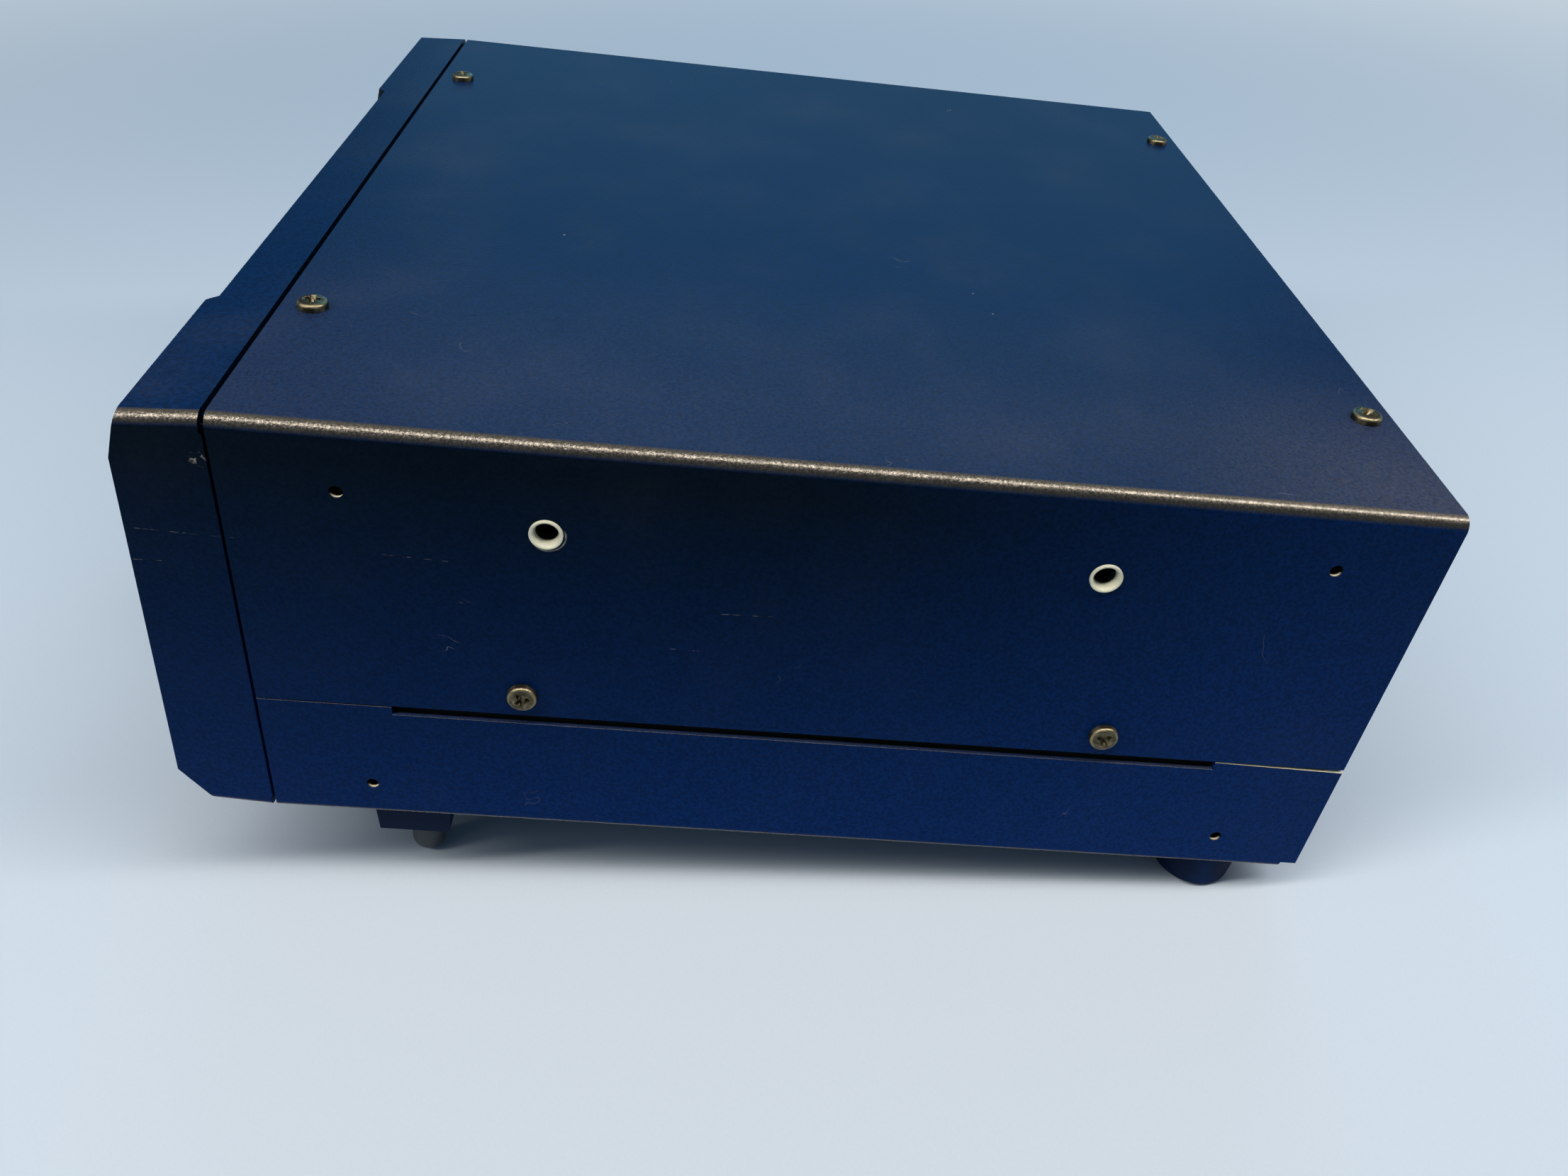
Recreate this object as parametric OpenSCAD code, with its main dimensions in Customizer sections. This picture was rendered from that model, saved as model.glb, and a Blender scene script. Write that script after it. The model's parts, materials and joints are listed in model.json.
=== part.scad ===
// Table-top communications receiver, standing nose-up on its front legs.
// Every module is drawn in the case's own axes: x to the operator's right, y from the
// front edge of the covers to the back, z up from the underside. stand() pitches it.

/* [Case] */
// Width of the case
case_w = 241; // [228:1:260]
// Height of the case without its feet
case_h = 94; // [90:1:104]
// Depth of the covers behind the front panel
cover_d = 221; // [205:1:250]
// Thickness of the cover sheet
sheet_t = 1; // [0.8:0.1:1.4]
// Outer radius of the bends along the top edges
bend_r = 2.8; // [2.4:0.1:4]
// Outer radius of the bends along the bottom edges
base_r = 1.9; // [1.8:0.1:3]
// Height of the seam between the covers
seam_z = 31; // [28:0.5:34]
// Open gap in the seam
seam_gap = 0.3; // [0.2:0.1:0.6]
// How much wider the seam is at the rear edge than at the slot
seam_open = 0.6; // [0.2:0.1:1]
// Start of the relief slot under the seam, from the front edge
slot_front = 26; // [15:0.5:40]
// Distance of the relief slot's end from the rear edge
slot_rear = 27.5; // [15:0.5:40]
// Height of the relief slot
slot_h = 2; // [1:0.1:3]
// Gap between the front panel and the covers, along the top and bottom
panel_gap = 1; // [0.7:0.1:1.4]
// Gap between the front panel's cheeks and the covers
cheek_gap = 0.6; // [0.3:0.05:0.7]
// Depth of the notch in the bottom cover's rear corners
notch_d = 3.5; // [2:0.5:6]
// Height of the notch in the bottom cover's rear corners
notch_h = 2; // [1.5:0.5:4]

/* [Side fittings] */
// First side screw, from the front edge
side_screw_y = 51.7; // [45:0.1:60]
// Distance between the side screws
side_screw_pitch = 116.5; // [100:0.5:130]
// Height of the side screws above the seam
side_screw_rise = 5.4; // [4.5:0.1:8]
// First handle bush, from the front edge
bush_y = 56.6; // [48:0.1:66]
// Distance between the handle bushes
bush_pitch = 102; // [90:1:115]
// Distance of the handle bushes below the top
bush_drop = 18.5; // [14:0.5:24]
// Radius of the hole through a handle bush
bush_bore_r = 2.1; // [1.6:0.1:2.2]
// Radius of a handle bush's body
bush_body_r = 2.7; // [2.5:0.1:3.2]
// Radius of a handle bush's flange
bush_flange_r = 3.3; // [3.2:0.1:4]
// Radius of the tapped bracket holes
bracket_hole_r = 1.25; // [1:0.05:1.6]
// Distance of the bracket holes from the front and rear edges
bracket_hole_inset = 20.5; // [16:0.5:26]
// Distance of the upper bracket holes below the top
bracket_hole_drop = 13; // [10:0.5:16]
// Height of the lower bracket holes above the underside
bracket_hole_rise = 9; // [7:0.5:12]

/* [Screws] */
// Radius of a screw's shank
screw_r = 1.45; // [1.2:0.05:1.6]
// Radius of a screw's head
screw_head_r = 2.95; // [2.6:0.05:3.2]
// Height of a screw's head
screw_head_h = 2; // [1.6:0.1:2.4]
// Front top screws, distance from the case side
top_screw_front_inset = 43.5; // [35:0.5:50]
// Rear top screws, distance from the case side
top_screw_rear_inset = 35.5; // [30:0.5:45]
// Top screws, distance from the front and rear edges
top_screw_edge = 6.2; // [6:0.1:7]

/* [Front panel] */
// Depth of the panel at its top edge
panel_top_d = 14.4; // [13:0.1:17]
// Depth of the panel's face at its top
face_top_d = 16.9; // [16:0.1:20]
// Depth of the panel's face at its foot
face_foot_d = 18.6; // [17:0.1:22]
// Depth of the panel at its bottom edge
panel_foot_d = 12; // [10:0.1:14]
// Height of the sloping brow along the top
brow_h = 9.7; // [8:0.1:12]
// Height of the chamfer along the foot
foot_chamfer_h = 9.6; // [8:0.1:12]
// Fall of the top and rise of the underside towards the front
panel_draft = 0.8; // [0.2:0.1:1.2]
// Wall thickness of the moulding
panel_wall = 2.5; // [2:0.1:2.8]
// Width of the raised left ear at the top edge
ear_left_w = 57.6; // [55:0.1:62]
// Width of the raised right ear at the top edge
ear_right_w = 44.2; // [43:0.1:50]
// Depth of the recess between the ears
recess_d = 2; // [1:0.1:2.4]

/* [Display] */
// Margin left of, and right of, the display window in the recess
window_margin = 7; // [5:0.5:14]
// Height of the display window
window_h = 24; // [20:0.5:26]
// Distance of the window's top edge below the brow
window_drop = 2.5; // [2.3:0.1:4]

/* [Tuning dial] */
// Radius of the dial's skirt
dial_r = 22; // [18:0.5:23]
// Length of the dial in front of the panel
dial_len = 20; // [16:0.5:22]
// Distance of the dial's axis from the right ear
dial_inset = 31; // [28:0.5:36]
// Height of the dial's axis
dial_z = 34.5; // [34:0.5:38]
// Radius of the tuning shaft
shaft_r = 3; // [2.5:0.1:3.2]
// Radial running clearance of a shaft in its bush
shaft_clear = 0.05; // [0.03:0.01:0.08]
// Grooves around the dial's rubber grip
grip_grooves = 48; // [24:4:60]

/* [Small knobs] */
// Radius of a small knob
knob_r = 8.5; // [7:0.5:10]
// Length of a small knob
knob_len = 13; // [11:0.5:15]
// Distance of the first knob's axis from the left side
knob_inset = 14.5; // [13:0.5:16]
// Distance between the two knobs
knob_pitch = 26; // [23:0.5:28]
// Height of the knobs' axes
knob_z = 50; // [46:0.5:54]

/* [Keys] */
// Width of a keypad key
pad_key_w = 9.4; // [8:0.1:9.6]
// Height of a keypad key
pad_key_h = 7.4; // [6:0.1:8]
// Sideways pitch of the keypad
pad_pitch_x = 11.5; // [11.4:0.1:11.8]
// Upright pitch of the keypad
pad_pitch_z = 10.5; // [10.2:0.1:11]
// Distance of the keypad's middle column from the right side
pad_inset = 20.5; // [20:0.1:21]
// Distance of the keypad's top row below the case top
pad_drop = 28; // [26:0.5:32]
// Width of a function key
fn_key_w = 14; // [10:0.5:15]
// Height of a function key
fn_key_h = 7.5; // [6:0.5:9]
// Sideways pitch of the function keys
fn_pitch_x = 20; // [18:0.5:22]
// Upright pitch of the function keys
fn_pitch_z = 17; // [14:0.5:18]
// Height of the lower row of function keys
fn_row_z = 24; // [22:0.5:26]
// Width of the power button
power_w = 16; // [12:0.5:18]
// Height of the power button
power_h = 8; // [6:0.5:9]
// Distance of the power button from the left side
power_inset = 34; // [32:0.5:36]
// Distance of the power button below the case top
power_drop = 17; // [16:0.5:19]
// How far a key stands out of the panel's foot line
key_rise = 0.8; // [0.6:0.1:1.6]
// Travel of a key
key_travel = 0.8; // [0.4:0.1:1]
// Travel of the power button
power_travel = 2; // [1:0.1:2.2]
// Clearance round a key in its aperture
key_clear = 0.3; // [0.25:0.05:0.4]
// Width of the lip that keeps a key behind the panel
key_lip = 0.9; // [0.7:0.1:1]

/* [Feet] */
// Length of a front foot, across the case
foot_len = 39; // [36:1:44]
// Width of a front foot where it meets the case
foot_w = 16; // [15:0.2:18]
// Height of a front foot
foot_h = 8; // [7.8:0.1:9]
// Distance of a front foot from the case side
foot_inset = 3; // [2:0.5:5]
// Middle of the front feet, from the front edge
foot_y = 27.3; // [24:0.1:32]
// Radius of a tilt leg
leg_r = 3.6; // [3:0.1:3.7]
// Length of a tilt leg from its pin to its tip
leg_len = 20.8; // [16:0.1:22]
// Outward lean of a tilt leg when it is out
leg_lean = 12; // [4:0.5:14]
// Distance of a leg's pin from the case side
pin_inset = 17.5; // [17:0.5:19]
// Radius of a leg's pin
pin_r = 1.5; // [1.2:0.1:1.7]
// Radius of a rear foot at the floor
rear_foot_r = 8.7; // [7:0.1:10]
// Height of a rear foot
rear_foot_h = 10; // [8:0.5:12]
// Distance of a rear foot's middle from the case side
rear_foot_inset = 11; // [10.5:0.5:14]
// Distance of a rear foot's middle from the rear edge
rear_foot_edge = 17.7; // [14:0.1:24]

/* [Inside] */
// Thickness of the chassis sheet
rail_t = 1.2; // [1:0.1:1.5]
// Room between a chassis wall and the cover
rail_gap = 2.2; // [2:0.1:2.6]
// Height of the shelf that carries the main board
shelf_z = 38; // [34:0.5:42]
// Thickness of the circuit boards
board_t = 1.6; // [1.2:0.1:2]
// Width of the tuner's shield can
can_w = 96; // [70:1:110]
// Depth of the tuner's shield can
can_d = 128; // [100:1:140]
// Height of the tuner's shield can
can_h = 27; // [20:0.5:34]
// Radius of the speaker
speaker_r = 38.5; // [30:0.5:42]
// Height of the speaker
speaker_h = 27; // [20:0.5:30]
// Width of a slot in the speaker grille
grille_slot_w = 3; // [2:0.5:4]
// Pitch of the slots in the speaker grille
grille_pitch = 6; // [5.5:0.5:8]

/* [Rear sockets] */
// Radius of an aerial socket's thread
aerial_r = 7.9; // [7:0.1:8.2]
// Length of an aerial socket outside the rear panel
aerial_len = 15; // [12:0.5:18]
// Distance between the aerial sockets
aerial_pitch = 34; // [30:0.5:40]
// Height of the aerial sockets
aerial_z = 63; // [56:0.5:68]
// Radius of the headphone socket's bore
phones_bore_r = 3.2; // [3:0.05:3.25]
// Radius of a small jack's bore
jack_bore_r = 1.8; // [1.6:0.05:1.9]
// Distance between the small jacks
jack_pitch = 20; // [16:0.5:24]
// Radius of the accessory socket's well
accessory_r = 7; // [6:0.1:7.5]
// Height of the lower row of sockets
low_row_z = 26; // [22:0.5:30]

/* [Hidden] */
$fn = 48;

// Colours of the finishes
black_paint = "#17191c";
black_plastic = "#1c1d20";
bare_steel = "#a9a692";
dark_screw = "#4a4238";
cream_nylon = "#e6e2d4";
rubber_black = "#111214";
board_green = "#2f5d3a";
nickel = "#b9bab6";
leg_grey = "#8d8f8c";

// Shared clearances and small sizes
eps = 0.01;
fit_gap = 0.3;
touch_gap = 0.2;
thread_clear = 0.05;
hole_clear = 0.25;
collar_len = 1.4;
collar_wall = 1;
hair = 0.1;
over = 1;
screw_end = 2;
short_screw_end = 1;

// Planes of the case
half_w = case_w / 2;
inner_top = case_h - sheet_t;
tapped_r = screw_r + thread_clear;
screw_hole_r = screw_r + hole_clear;

// Planes of the chassis
wall_x = half_w - sheet_t - rail_gap;
plate_y = 9;
plate_back = plate_y + rail_t;
rear_recess = 3;
rear_face = cover_d - rear_recess;
rear_y = rear_face - rail_t;
lip_end = 1.5;
lip_t = 1.5;
lip_gap = 0.4;
lip_inset = sheet_t + lip_gap;
lip_root = 2;
flange_w = 13;
rail_front_gap = 0.7;
rail_front = lip_end + rail_front_gap;
rail_rear_d = 12;

// Planes of the front panel
ear_back = face_top_d - panel_wall;
mid_back = ear_back - recess_d;
brow_z = case_h - brow_h;
recess_foot = 2;
recess_foot_z = foot_chamfer_h + recess_foot;
hollow_foot = 1;
recess_left = -half_w + ear_left_w;
recess_right = half_w - ear_right_w;
brow_slope = face_top_d - panel_top_d;
recess_floor_left = recess_left + recess_d - brow_slope;
recess_floor_right = recess_right - recess_d + brow_slope;
recess_mid = (recess_floor_left + recess_floor_right) / 2;
ear_room = 4.2;
far_front = 60;
function face_d(z) = face_foot_d + (face_top_d - face_foot_d) * (z - foot_chamfer_h) / (brow_z - foot_chamfer_h);

// Front board, key switches and what stands on them
board_face = 5.4;
board_back = board_face - board_t;
lip_thick = 1.2;
switch_tip = mid_back - touch_gap - lip_thick - key_travel - fit_gap;
plunger_len = 1.2;
switch_w = 6;
switch_body = switch_tip - plunger_len;
plunger_r = 1.7;
board_edge = 4;
pillar_r = 3.5;
pillar_inset = 8.5;
pillar_low_z = 13;
pillar_drop = 12;
pillar_high_z = case_h - pillar_drop;
boss_r = 2.8;
boss_root = 0.5;
stem_w = 4;
cap_chamfer = 0.6;

// Display
window_w = recess_floor_right - recess_floor_left - 2 * window_margin;
window_top = brow_z - window_drop;
window_z = window_top - window_h / 2;
window_lip = 2;
window_face = face_top_d - recess_d - fit_gap;
window_flange_t = 1.5;
window_clear = 0.2;
module_face = mid_back - window_flange_t - touch_gap;
module_edge_x = 4;
module_edge_z = 1.5;
module_w = window_w - 2 * module_edge_x;
module_h = window_h - 2 * module_edge_z;

// Tuning dial and small knobs
dial_x = recess_right - dial_inset;
dial_gap = 0.8;
dial_back = face_foot_d - recess_d + dial_gap;
dial_front = dial_back + dial_len;
dial_step = 1.4;
dial_rim_r = dial_r - dial_step;
skirt_t = 2.4;
grip_from = 4.5;
grip_end = 3.5;
grip_to = dial_len - grip_end;
grip_proud = 0.5;
grip_depth = 2.2;
grip_seat_r = dial_rim_r - grip_depth;
dish_d = 0.8;
dimple_r = 6;
dimple_depth = 2.2;
dimple_edge = 4;
dial_cap = 5;
dial_bore_d = dial_len - dial_cap;
encoder_r = 11;
encoder_len = 8.4;
encoder_bush_r = 4.5;
knob_gap = 0.6;
knob_back = face_foot_d + knob_gap;
knob_cap = 3;
knob_bore_d = knob_len - knob_cap;
knob_ribs = 20;
knob_line_w = 1;
knob_line_d = 0.6;
knob_line_from = 1;
pot_r = 8;
pot_len = 6.4;
pot_bush_r = 4;
shaft_room = 0.6;
shaft_hole_r = shaft_r + shaft_room;
shaft_end_wall = 2;
shaft_flat = 0.6;
shaft_flat_from = 1;
shaft_tip_gap = 0.5;
bush_short = 1;
knob_xs = [-half_w + knob_inset, -half_w + knob_inset + knob_pitch];

// Keys: name, x, z, width, height, inner face of the wall, travel
pad_names = ["key_1", "key_2", "key_3", "key_4", "key_5", "key_6",
             "key_7", "key_8", "key_9", "key_point", "key_0", "key_enter"];
fn_names = ["key_mode", "key_step", "key_scan", "key_memory", "key_lock", "key_attenuator"];
fn_first_x = recess_floor_left + window_margin + fn_key_w / 2;
PAD_KEYS = [for (i = [0 : len(pad_names) - 1])
    [pad_names[i], half_w - pad_inset + (i % 3 - 1) * pad_pitch_x,
     case_h - pad_drop - floor(i / 3) * pad_pitch_z, pad_key_w, pad_key_h, ear_back, key_travel]];
FN_KEYS = [for (i = [0 : len(fn_names) - 1])
    [fn_names[i], fn_first_x + (i % 3) * fn_pitch_x,
     fn_row_z + (1 - floor(i / 3)) * fn_pitch_z, fn_key_w, fn_key_h, mid_back, key_travel]];
POWER_KEY = ["power_button", -half_w + power_inset, case_h - power_drop,
             power_w, power_h, ear_back, power_travel];
KEYS = concat(PAD_KEYS, FN_KEYS, [POWER_KEY]);

// Headphone socket
phones_inset = 19.5;
phones_x = -half_w + phones_inset;
phones_z = 23;
phones_bush_wall = 1.3;
phones_bush_r = phones_bore_r + phones_bush_wall;
phones_nut_r = 6.4;
phones_nut_t = 1.5;
phones_nut_room = 0.6;
phones_sink = 0.2;
phones_proud = 0.6;
phones_seat = face_d(phones_z + phones_nut_r) - phones_sink;
phones_body_w = 14;
phones_body_end = 3;
phones_wall = 2;
phones_board_room = 1;

// Pillars, bosses and screws of the panel and boards
PILLARS = [for (x = [-1, 1], z = [pillar_low_z, pillar_high_z]) [x * (half_w - pillar_inset), z]];
boss_room = 1;
pillar_bore = 9;
boss_bore = 6;
mid_boss_z = window_top - window_h - window_lip - boss_r - boss_room;
mid_boss_left = recess_floor_left + boss_r + hair;
mid_boss_right = recess_floor_right - boss_r - boss_room;
left_boss_inset = 17;
BOARD_BOSSES = [[mid_boss_left, mid_boss_z], [mid_boss_right, mid_boss_z],
                [mid_boss_left, pillar_low_z], [mid_boss_right, pillar_low_z],
                [-half_w + left_boss_inset, case_h - power_drop],
                [half_w - pad_inset - pad_pitch_x,
                 case_h - pad_drop + pad_key_h / 2 + key_lip + boss_r + boss_room]];
front_board_room = 1;
board_x = wall_x - front_board_room;
standoff_h = 6;
standoff_r = 3;
main_board_z = shelf_z + rail_t + standoff_h;
board_side_room = 8;
board_front_room = 10;
board_rear_room = 26;
post_inset = 6;
main_board_w = 2 * (wall_x - rail_t - board_side_room);
main_board_front = plate_back + board_front_room;
main_board_rear = rear_y - board_rear_room;
BOARD_POSTS = [for (x = [-1, 1], y = [main_board_front + post_inset, main_board_rear - post_inset])
    [x * (main_board_w / 2 - post_inset), y]];
can_wall = 0.8;
can_room = 14;
can_y = main_board_front + can_room;
can_x = -main_board_w / 2 + can_room;
grille_edge = 6;
grille_r = speaker_r - grille_edge;
speaker_x = -24;
speaker_y = cover_d / 2;

// Screw places on the covers and rear panel
TOP_SCREWS = [for (s = [-1, 1]) each [
    [s * (half_w - top_screw_front_inset), top_screw_edge],
    [s * (half_w - top_screw_rear_inset), cover_d - top_screw_edge]]];
SIDE_SCREW_YS = [side_screw_y, side_screw_y + side_screw_pitch];
side_screw_z = seam_z + side_screw_rise;
BUSH_YS = [bush_y, bush_y + bush_pitch];
bush_z = case_h - bush_drop;
bush_rim = 1.1;
bush_lip_r = 0.45;
bush_lip_mid = bush_flange_r - bush_lip_r;
bush_land = 0.2;
bush_mouth_r = bush_lip_mid - bush_land;
BRACKET_YS = [bracket_hole_inset, cover_d - bracket_hole_inset];
base_screw_room = 8;
base_screw_inset = rail_gap + sheet_t + base_screw_room;
base_screw_front = 38;
base_screw_rear = 42;
BASE_SCREWS = [for (s = [-1, 1], y = [plate_back + base_screw_front, rear_y - base_screw_rear])
    [s * (half_w - base_screw_inset), y]];
rear_screw_rise = 12;
rear_screw_drop = 14;
rear_screw_inset = 5;
REAR_SCREWS = [for (s = [-1, 1], z = [rear_screw_rise, case_h - rear_screw_drop])
    [s * (wall_x - rail_t - rear_screw_inset), z]];
rail_boss_r = 5;
wall_room = 1;

// Feet and legs
pin_z = -foot_h / 2;
pin_x = half_w - pin_inset;
leg_eye_r = leg_r + hair;
leg_slot_w = 2 * (leg_r + fit_gap);
leg_stop = leg_eye_r + touch_gap;
leg_slot_end = pin_x - leg_len - 2 * fit_gap;
pin_end = 0.8;
pin_half = foot_w / 2 - pin_end;
leg_eye_w = 2 * (leg_r - touch_gap);
foot_draft = 0.6;
foot_out = half_w - foot_inset;
foot_screw_inset = 5;
foot_screw_x = foot_out - foot_screw_inset;
front_screw_seat = 4;
rear_screw_seat = 4.5;
foot_peg_r = 1.2;
foot_peg_x = (foot_out - foot_len + leg_slot_end) / 2;
foot_peg_h = 0.9;
screw_well_r = screw_head_r + fit_gap;
rear_foot_x = half_w - rear_foot_inset;
rear_foot_y = cover_d - rear_foot_edge;
rear_foot_flare = 0.8;
foot_edge_r = 1;
FOOT_SCREWS = [for (s = [-1, 1]) each [
    [s * foot_screw_x, foot_y, front_screw_seat], [s * rear_foot_x, rear_foot_y, rear_screw_seat]]];

// Rear sockets
aerial_edge = 30;
aerial_x = -half_w + aerial_edge;
AERIAL_XS = [aerial_x, aerial_x + aerial_pitch];
aerial_flange = 25;
aerial_flange_t = 2.5;
aerial_well_d = 1.2;
aerial_rim = 1.5;
contact_bore_r = 2;
contact_bore_d = 10;
socket_back_d = 7;
dc_edge = 34;
dc_x = half_w - dc_edge;
dc_bore_r = 2.9;
dc_body_r = 5.4;
dc_pin_r = 1.05;
dc_pin_short = 1;
dc_depth = 10;
jack_gap = 30;
JACK_XS = [dc_x - jack_gap, dc_x - jack_gap - jack_pitch];
jack_wall = 1.8;
jack_body_r = jack_bore_r + jack_wall;
jack_depth = 15;
socket_collar_t = 1.8;
socket_collar_w = 1.6;
socket_end = 2;
accessory_edge = 62;
accessory_x = half_w - accessory_edge;
accessory_z = aerial_z;
accessory_wall = 1.8;
accessory_body_r = accessory_r + accessory_wall;
accessory_depth = 7;
accessory_pin_r = 0.8;
accessory_pin_d = 4;
ground_x = aerial_x;
stud_r = 2;
stud_len = 14;
stud_collar_t = 2;
stud_back = 5;

// Stance: the legs lift the front until leg tips and rear feet share one floor
ball_z = pin_z - (leg_len - leg_r) * cos(leg_lean);
stance_run = rear_foot_y + rear_foot_r - foot_edge_r - foot_y;
stance_fall = ball_z + rear_foot_h - foot_edge_r;
tilt = asin((leg_r - foot_edge_r) / norm([stance_run, stance_fall])) - atan2(stance_fall, stance_run);
floor_z = -foot_y * sin(tilt) + ball_z * cos(tilt) - leg_r;
front_reach = -dial_front * cos(tilt) + (dial_z - dial_rim_r) * sin(tilt);
rear_reach = (rear_face + aerial_len) * cos(tilt) + (aerial_z + aerial_r) * sin(tilt);
mid_y = (front_reach + rear_reach) / 2;

module stand() {
    translate([0, -mid_y, -floor_z]) rotate([-tilt, 0, 0]) children();
}

// Extrudes an x-z outline from y0 to y1
module along_y(y0, y1) {
    translate([0, y1, 0]) rotate([90, 0, 0]) linear_extrude(y1 - y0) children();
}

// Extrudes a y-z outline from x0 to x1
module along_x(x0, x1) {
    translate([x0, 0, 0]) rotate([90, 0, 90]) linear_extrude(x1 - x0) children();
}

// Cylinder along +y from y0 to y1
module rod_y(x, z, r, y0, y1) {
    translate([x, y0, z]) rotate([-90, 0, 0]) cylinder(r = r, h = y1 - y0);
}

// Cylinder along x from x0 to x1
module rod_x(y, z, r, x0, x1) {
    translate([x0, y, z]) rotate([0, 90, 0]) cylinder(r = r, h = x1 - x0);
}

// Box between two corners
module block(a, b) {
    translate(a) cube(b - a);
}

// Both sides of the case
module both_sides() {
    children();
    mirror([1, 0, 0]) children();
}

// Outline of the case in x-z, drawn in by an inset
module case_outline(inset = 0) {
    w = half_w - inset;
    top = case_h - inset;
    difference() {
        translate([-w, inset]) square([2 * w, top - inset]);
        if (bend_r - inset > hair) both_corners(w, top, bend_r - inset, 1);
        if (base_r - inset > hair) both_corners(w, inset, base_r - inset, -1);
    }
}

// What rounding takes off two corners of the case outline
module both_corners(w, z, r, up) {
    for (s = [-1, 1]) {
        difference() {
            translate([s * (w - r / 2 + eps), z - up * (r / 2 - eps)]) square(r + 2 * eps, center = true);
            translate([s * (w - r), z - up * r]) circle(r);
        }
    }
}

// Pan-head screw with its head up and its seat at z = 0
module screw(shank) {
    cross_w = 0.8;
    cross_l = 2 * screw_head_r * 0.62;
    cross_d = 1.1;
    dome_r = screw_head_r * 1.25;
    difference() {
        union() {
            translate([0, 0, -shank]) cylinder(r = screw_r, h = shank + eps);
            intersection() {
                cylinder(r = screw_head_r, h = screw_head_h);
                translate([0, 0, screw_head_h - dome_r]) sphere(dome_r);
            }
        }
        for (a = [0, 90])
            rotate(a) translate([-cross_l / 2, -cross_w / 2, screw_head_h - cross_d])
                cube([cross_l, cross_w, screw_head_h]);
    }
}

// Covers

// Tapped collars of the bracket holes on the right side, at one height
module bracket_collars(z) {
    for (y = BRACKET_YS)
        rod_x(y, z, bracket_hole_r + collar_wall, half_w - sheet_t - collar_len, half_w - sheet_t / 2);
}

// Bores of the bracket holes on the right side, at one height
module bracket_bores(z) {
    for (y = BRACKET_YS)
        rod_x(y, z, bracket_hole_r, half_w - sheet_t - collar_len - over, half_w + over);
}

// Ring of sheet round the case, from which both covers are cut
module cover_ring() {
    difference() {
        case_outline();
        case_outline(sheet_t);
    }
}

module top_cover() color(black_paint) {
    upper_z = case_h - bracket_hole_drop;
    difference() {
        union() {
            along_y(0, cover_d) difference() {
                cover_ring();
                translate([-case_w, -case_h]) square([2 * case_w, case_h + seam_z + seam_gap / 2]);
            }
            both_sides() bracket_collars(upper_z);
        }
        for (p = TOP_SCREWS)
            translate([p.x, p.y, inner_top - over]) cylinder(r = screw_hole_r, h = sheet_t + 2 * over);
        both_sides() {
            for (y = SIDE_SCREW_YS)
                rod_x(y, side_screw_z, screw_hole_r, half_w - sheet_t - over, half_w + over);
            for (y = BUSH_YS)
                rod_x(y, bush_z, bush_body_r + thread_clear, half_w - sheet_t - over, half_w + over);
            bracket_bores(upper_z);
        }
    }
}

// Rows of round-ended slots that fill a circle over the speaker
module speaker_grille() {
    rows = floor((grille_r - grille_slot_w) / grille_pitch);
    for (i = [-rows : rows]) {
        reach = sqrt(pow(grille_r, 2) - pow(i * grille_pitch, 2)) - grille_slot_w / 2;
        translate([speaker_x, speaker_y + i * grille_pitch, -over]) {
            translate([-reach, -grille_slot_w / 2, 0]) cube([2 * reach, grille_slot_w, sheet_t + 2 * over]);
            for (s = [-1, 1]) translate([s * reach, 0, 0]) cylinder(d = grille_slot_w, h = sheet_t + 2 * over);
        }
    }
}

module bottom_cover() color(black_paint) {
    seam_edge = seam_z - seam_gap / 2;
    difference() {
        union() {
            along_y(0, cover_d) difference() {
                cover_ring();
                translate([-case_w, seam_edge]) square([2 * case_w, case_h]);
            }
            both_sides() bracket_collars(bracket_hole_rise);
        }
        speaker_grille();
        for (p = BASE_SCREWS) translate([p.x, p.y, -over]) cylinder(r = screw_hole_r, h = sheet_t + 2 * over);
        for (p = FOOT_SCREWS) translate([p.x, p.y, -over]) cylinder(r = screw_hole_r, h = sheet_t + 2 * over);
        both_sides() {
            bracket_bores(bracket_hole_rise);
            block([half_w - sheet_t - over, slot_front, seam_edge - slot_h],
                  [half_w + over, cover_d - slot_rear, case_h]);
            along_x(half_w - sheet_t - over, half_w + over) polygon([
                [cover_d - slot_rear, seam_edge], [cover_d, seam_edge - seam_open],
                [cover_d + over, seam_edge - seam_open], [cover_d + over, case_h], [cover_d - slot_rear, case_h]]);
            block([half_w - base_r - over, cover_d - notch_d, -over], [half_w + over, cover_d + over, notch_h]);
            translate([foot_peg_x, foot_y, -over]) cylinder(r = foot_peg_r + thread_clear, h = sheet_t + 2 * over);
        }
    }
}

module top_cover_screws() color(dark_screw) {
    for (p = TOP_SCREWS) translate([p.x, p.y, case_h]) screw(sheet_t + rail_t + screw_end);
}

module side_cover_screws() color(dark_screw) {
    both_sides() for (y = SIDE_SCREW_YS)
        translate([half_w, y, side_screw_z]) rotate([0, 90, 0])
            screw(sheet_t + rail_gap + rail_t + short_screw_end);
}

module bottom_cover_screws() color(dark_screw) {
    for (p = BASE_SCREWS) translate([p.x, p.y, 0]) rotate([180, 0, 0]) screw(sheet_t + rail_t + screw_end);
}

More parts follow.
